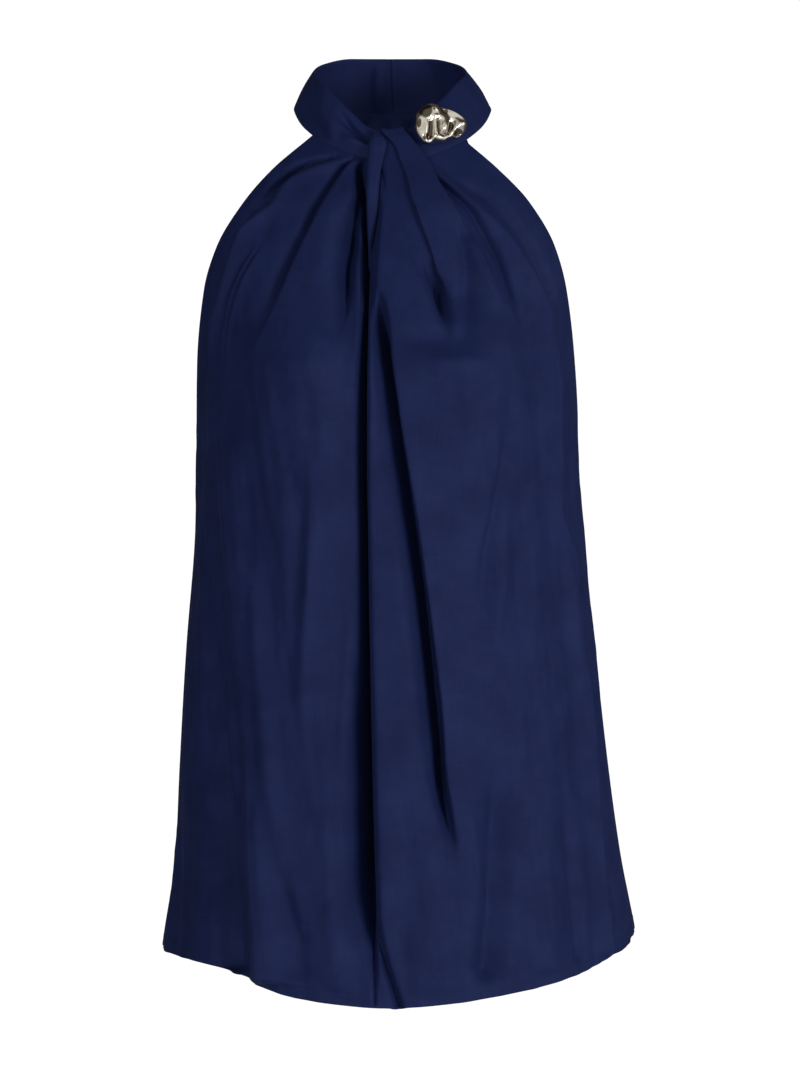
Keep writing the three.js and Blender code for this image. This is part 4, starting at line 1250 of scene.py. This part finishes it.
def stitch_row(name, points):
    row = row_above_hem(points, grid_normals(points), STITCH["above"])
    run = np.concatenate([[0], np.cumsum(np.linalg.norm(np.diff(row[:, :3], axis=0), axis=1))])
    starts = np.arange(STITCH["margin"], run[-1] - STITCH["margin"], STITCH["pitch"])
    sides = STITCH["sides"]
    angle = np.linspace(0, 2 * np.pi, sides, endpoint=False)
    all_points = []
    faces = []
    for start in starts:
        ends = [np.array([np.interp(at, run, row[:, k]) for k in range(6)])
                for at in (start, start + STITCH["length"])]
        along = unit(ends[1][:3] - ends[0][:3])
        out = unit(ends[0][3:])
        side = np.cross(along, out)
        first = len(all_points) * sides
        for share, wide in STITCH_RINGS:
            sink = 0.02 + 0.14 * math.sin(math.pi * share)
            middle = mix(ends[0][:3], ends[1][:3], share) + out * sink
            turn = np.outer(np.cos(angle), side) + np.outer(np.sin(angle), out)
            all_points.append(middle + turn * wide * STITCH["radius"])
        for ring_index in range(len(STITCH_RINGS) - 1):
            for k in range(sides):
                a = first + ring_index * sides + k
                b = first + ring_index * sides + (k + 1) % sides
                faces.append([a, b, b + sides, a + sides])
        faces.append([first + k for k in range(sides)][::-1])
        last = first + (len(STITCH_RINGS) - 1) * sides
        faces.append([last + k for k in range(sides)])
    piece = new_mesh(name, np.concatenate(all_points), faces)
    outward_faces(piece)
    print(name, len(starts), "stitches")
    return piece


# %% [markdown]
# ## Thread
# Sewing thread is dyed to match the cloth, but it is duller than satin. Its two strands are too fine to
# see, so a very fine noise between two navy tones stands for their twist.

# %% Thread and rows
thread, thread_tree, thread_shader = new_material("navy_thread")
thread_place = node(thread_tree, "ShaderNodeTexCoord").outputs["Object"]
thread_twist = node(thread_tree, "ShaderNodeTexNoise", in_Vector=thread_place, in_Scale=3000.0,
                    in_Detail=1.0).outputs["Fac"]
thread_tone = two_tones(thread_tree, thread_twist, (0, (0.007, 0.011, 0.045)), (1, (0.016, 0.024, 0.082)))
thread_tree.links.new(thread_tone, thread_shader.inputs["Base Color"])
thread_shader.inputs["Roughness"].default_value = 0.6
thread_shader.inputs["Specular IOR Level"].default_value = 0.15

for sheet_name, sheet_points in (("front_left", left_points), ("front_right", right_points),
                                 ("back", back_points)):
    row = stitch_row("hem_stitches_" + sheet_name, sheet_points)
    row.data.materials.append(thread)
    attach(row, "root")

# %% [markdown]
# ## The size of each sheet
# Each sheet's size, as it was cut, is printed. The gathers are part of that size, because a fold takes
# cloth from the cut and doesn't stretch it.

# %% Cut sizes of the sheets
def cut_size(points):
    width = float(running_length(points, 1)[:, -1].max()) * MM
    length = float(running_length(points, 0)[-1].max()) * MM
    return width, length, sheet_area(points)


for label, grid in (("front left", left_points), ("front right", right_points), ("back", back_points),
                    ("band left", band_left_points), ("band right", band_right_points),
                    ("wrap", wrap_points)):
    print(label, [round(v, 4) for v in cut_size(grid)])

# %% [markdown]
# ## Set the stage
# The floor is a plain pale disc far below the hem.

# %% Floor
FLOOR = dict(level=-1050, radius=1800, sides=96)
rim_angle = np.linspace(0, 2 * np.pi, FLOOR["sides"], endpoint=False)
rim = FLOOR["radius"] * stack(np.cos(rim_angle), np.sin(rim_angle), 0) + np.array([0, 0, FLOOR["level"]])
floor = new_mesh("studio_floor", rim, [list(range(FLOOR["sides"]))])
floor_material, floor_tree, floor_shader = new_material("pale_floor")
floor_shader.inputs["Base Color"].default_value = (0.85, 0.85, 0.85, 1)
floor_shader.inputs["Roughness"].default_value = 0.9
floor.data.materials.append(floor_material)
print("floor at", FLOOR["level"], "mm")

# %% [markdown]
# ## Lights
# A key light from the right and a fill from the left, both in front and level with the top, stand for a
# studio's soft boxes, and they leave the deep folds dark. A weak strip marks the right edge. A narrow
# light behind the top makes the back readable when the view goes round it.

# %% Lights
def area_light(name, place, aim, size, watts):
    data = bpy.data.lights.new(name, "AREA")
    data.shape = "RECTANGLE"
    data.size, data.size_y = size
    data.energy = watts
    lamp = bpy.data.objects.new(name, data)
    lamp.location = place
    lamp.rotation_euler = (Vector(aim) - Vector(place)).to_track_quat("-Z", "Y").to_euler()
    bpy.context.scene.collection.objects.link(lamp)
    return lamp


area_light("key", (1.9, -2.3, -0.3), (0, 0, -0.4), (1.0, 1.2), 49)
area_light("fill", (-1.15, -2.7, -0.45), (0, 0, -0.4), (1.6, 1.6), 33)
area_light("right_strip", (1.6, -0.5, 0.0), (0, 0, -0.35), (0.35, 1.4), 4)
area_light("behind", (0.02, 3.4, -0.4), (0, 0, -0.4), (0.5, 0.9), 60)

# %% [markdown]
# ## The white room and the dim sky
# The room is white where the camera sees it. The cloth is lit by a separate, dim sky, because a white
# one would wash the navy out. What the metal mirrors is a third one: bright towards the front, where a
# studio has its soft boxes, and dark brown behind.

# %% The white room and the dim sky
def sky_side(tree, toward, dim, bright):
    """A colour that is bright in the directions near toward and dim in the others."""
    place = node(tree, "ShaderNodeTexCoord").outputs["Generated"]
    facing = node(tree, "ShaderNodeVectorMath", operation="DOT_PRODUCT", in_0=place, in_1=toward)
    share = node(tree, "ShaderNodeMapRange", clamp=True, interpolation_type="SMOOTHSTEP",
                 in_Value=facing.outputs["Value"], in_From_Min=-0.2, in_From_Max=0.3)
    colour = node(tree, "ShaderNodeMix", data_type="RGBA", in_Factor=share.outputs["Result"],
                  in_A=(*dim, 1), in_B=(*bright, 1))
    return colour.outputs["Result"]


room = bpy.data.worlds.new("studio")
room.use_nodes = True
room_tree = room.node_tree
rays = node(room_tree, "ShaderNodeLightPath")
dim_sky = room_tree.nodes["Background"]
dim_sky.inputs["Color"].default_value = (0.09, 0.093, 0.1, 1)
dim_sky.inputs["Strength"].default_value = 1.0
mirror_colour = sky_side(room_tree, (0.1, -0.98, -0.1), (0.075, 0.06, 0.045), (0.8, 0.79, 0.75))
mirrored = node(room_tree, "ShaderNodeBackground", in_Color=mirror_colour)
white = node(room_tree, "ShaderNodeBackground", in_Color=(1, 1, 1, 1), in_Strength=1.05)
cloth_light = node(room_tree, "ShaderNodeMixShader", in_Fac=rays.outputs["Is Glossy Ray"],
                   in_1=dim_sky.outputs["Background"], in_2=mirrored.outputs["Background"])
seen = node(room_tree, "ShaderNodeMixShader", in_Fac=rays.outputs["Is Camera Ray"],
            in_1=cloth_light.outputs["Shader"], in_2=white.outputs["Background"])
room_tree.links.new(seen.outputs["Shader"], room_tree.nodes["World Output"].inputs["Surface"])
bpy.context.scene.world = room
bpy.context.scene.view_settings.view_transform = "Standard"
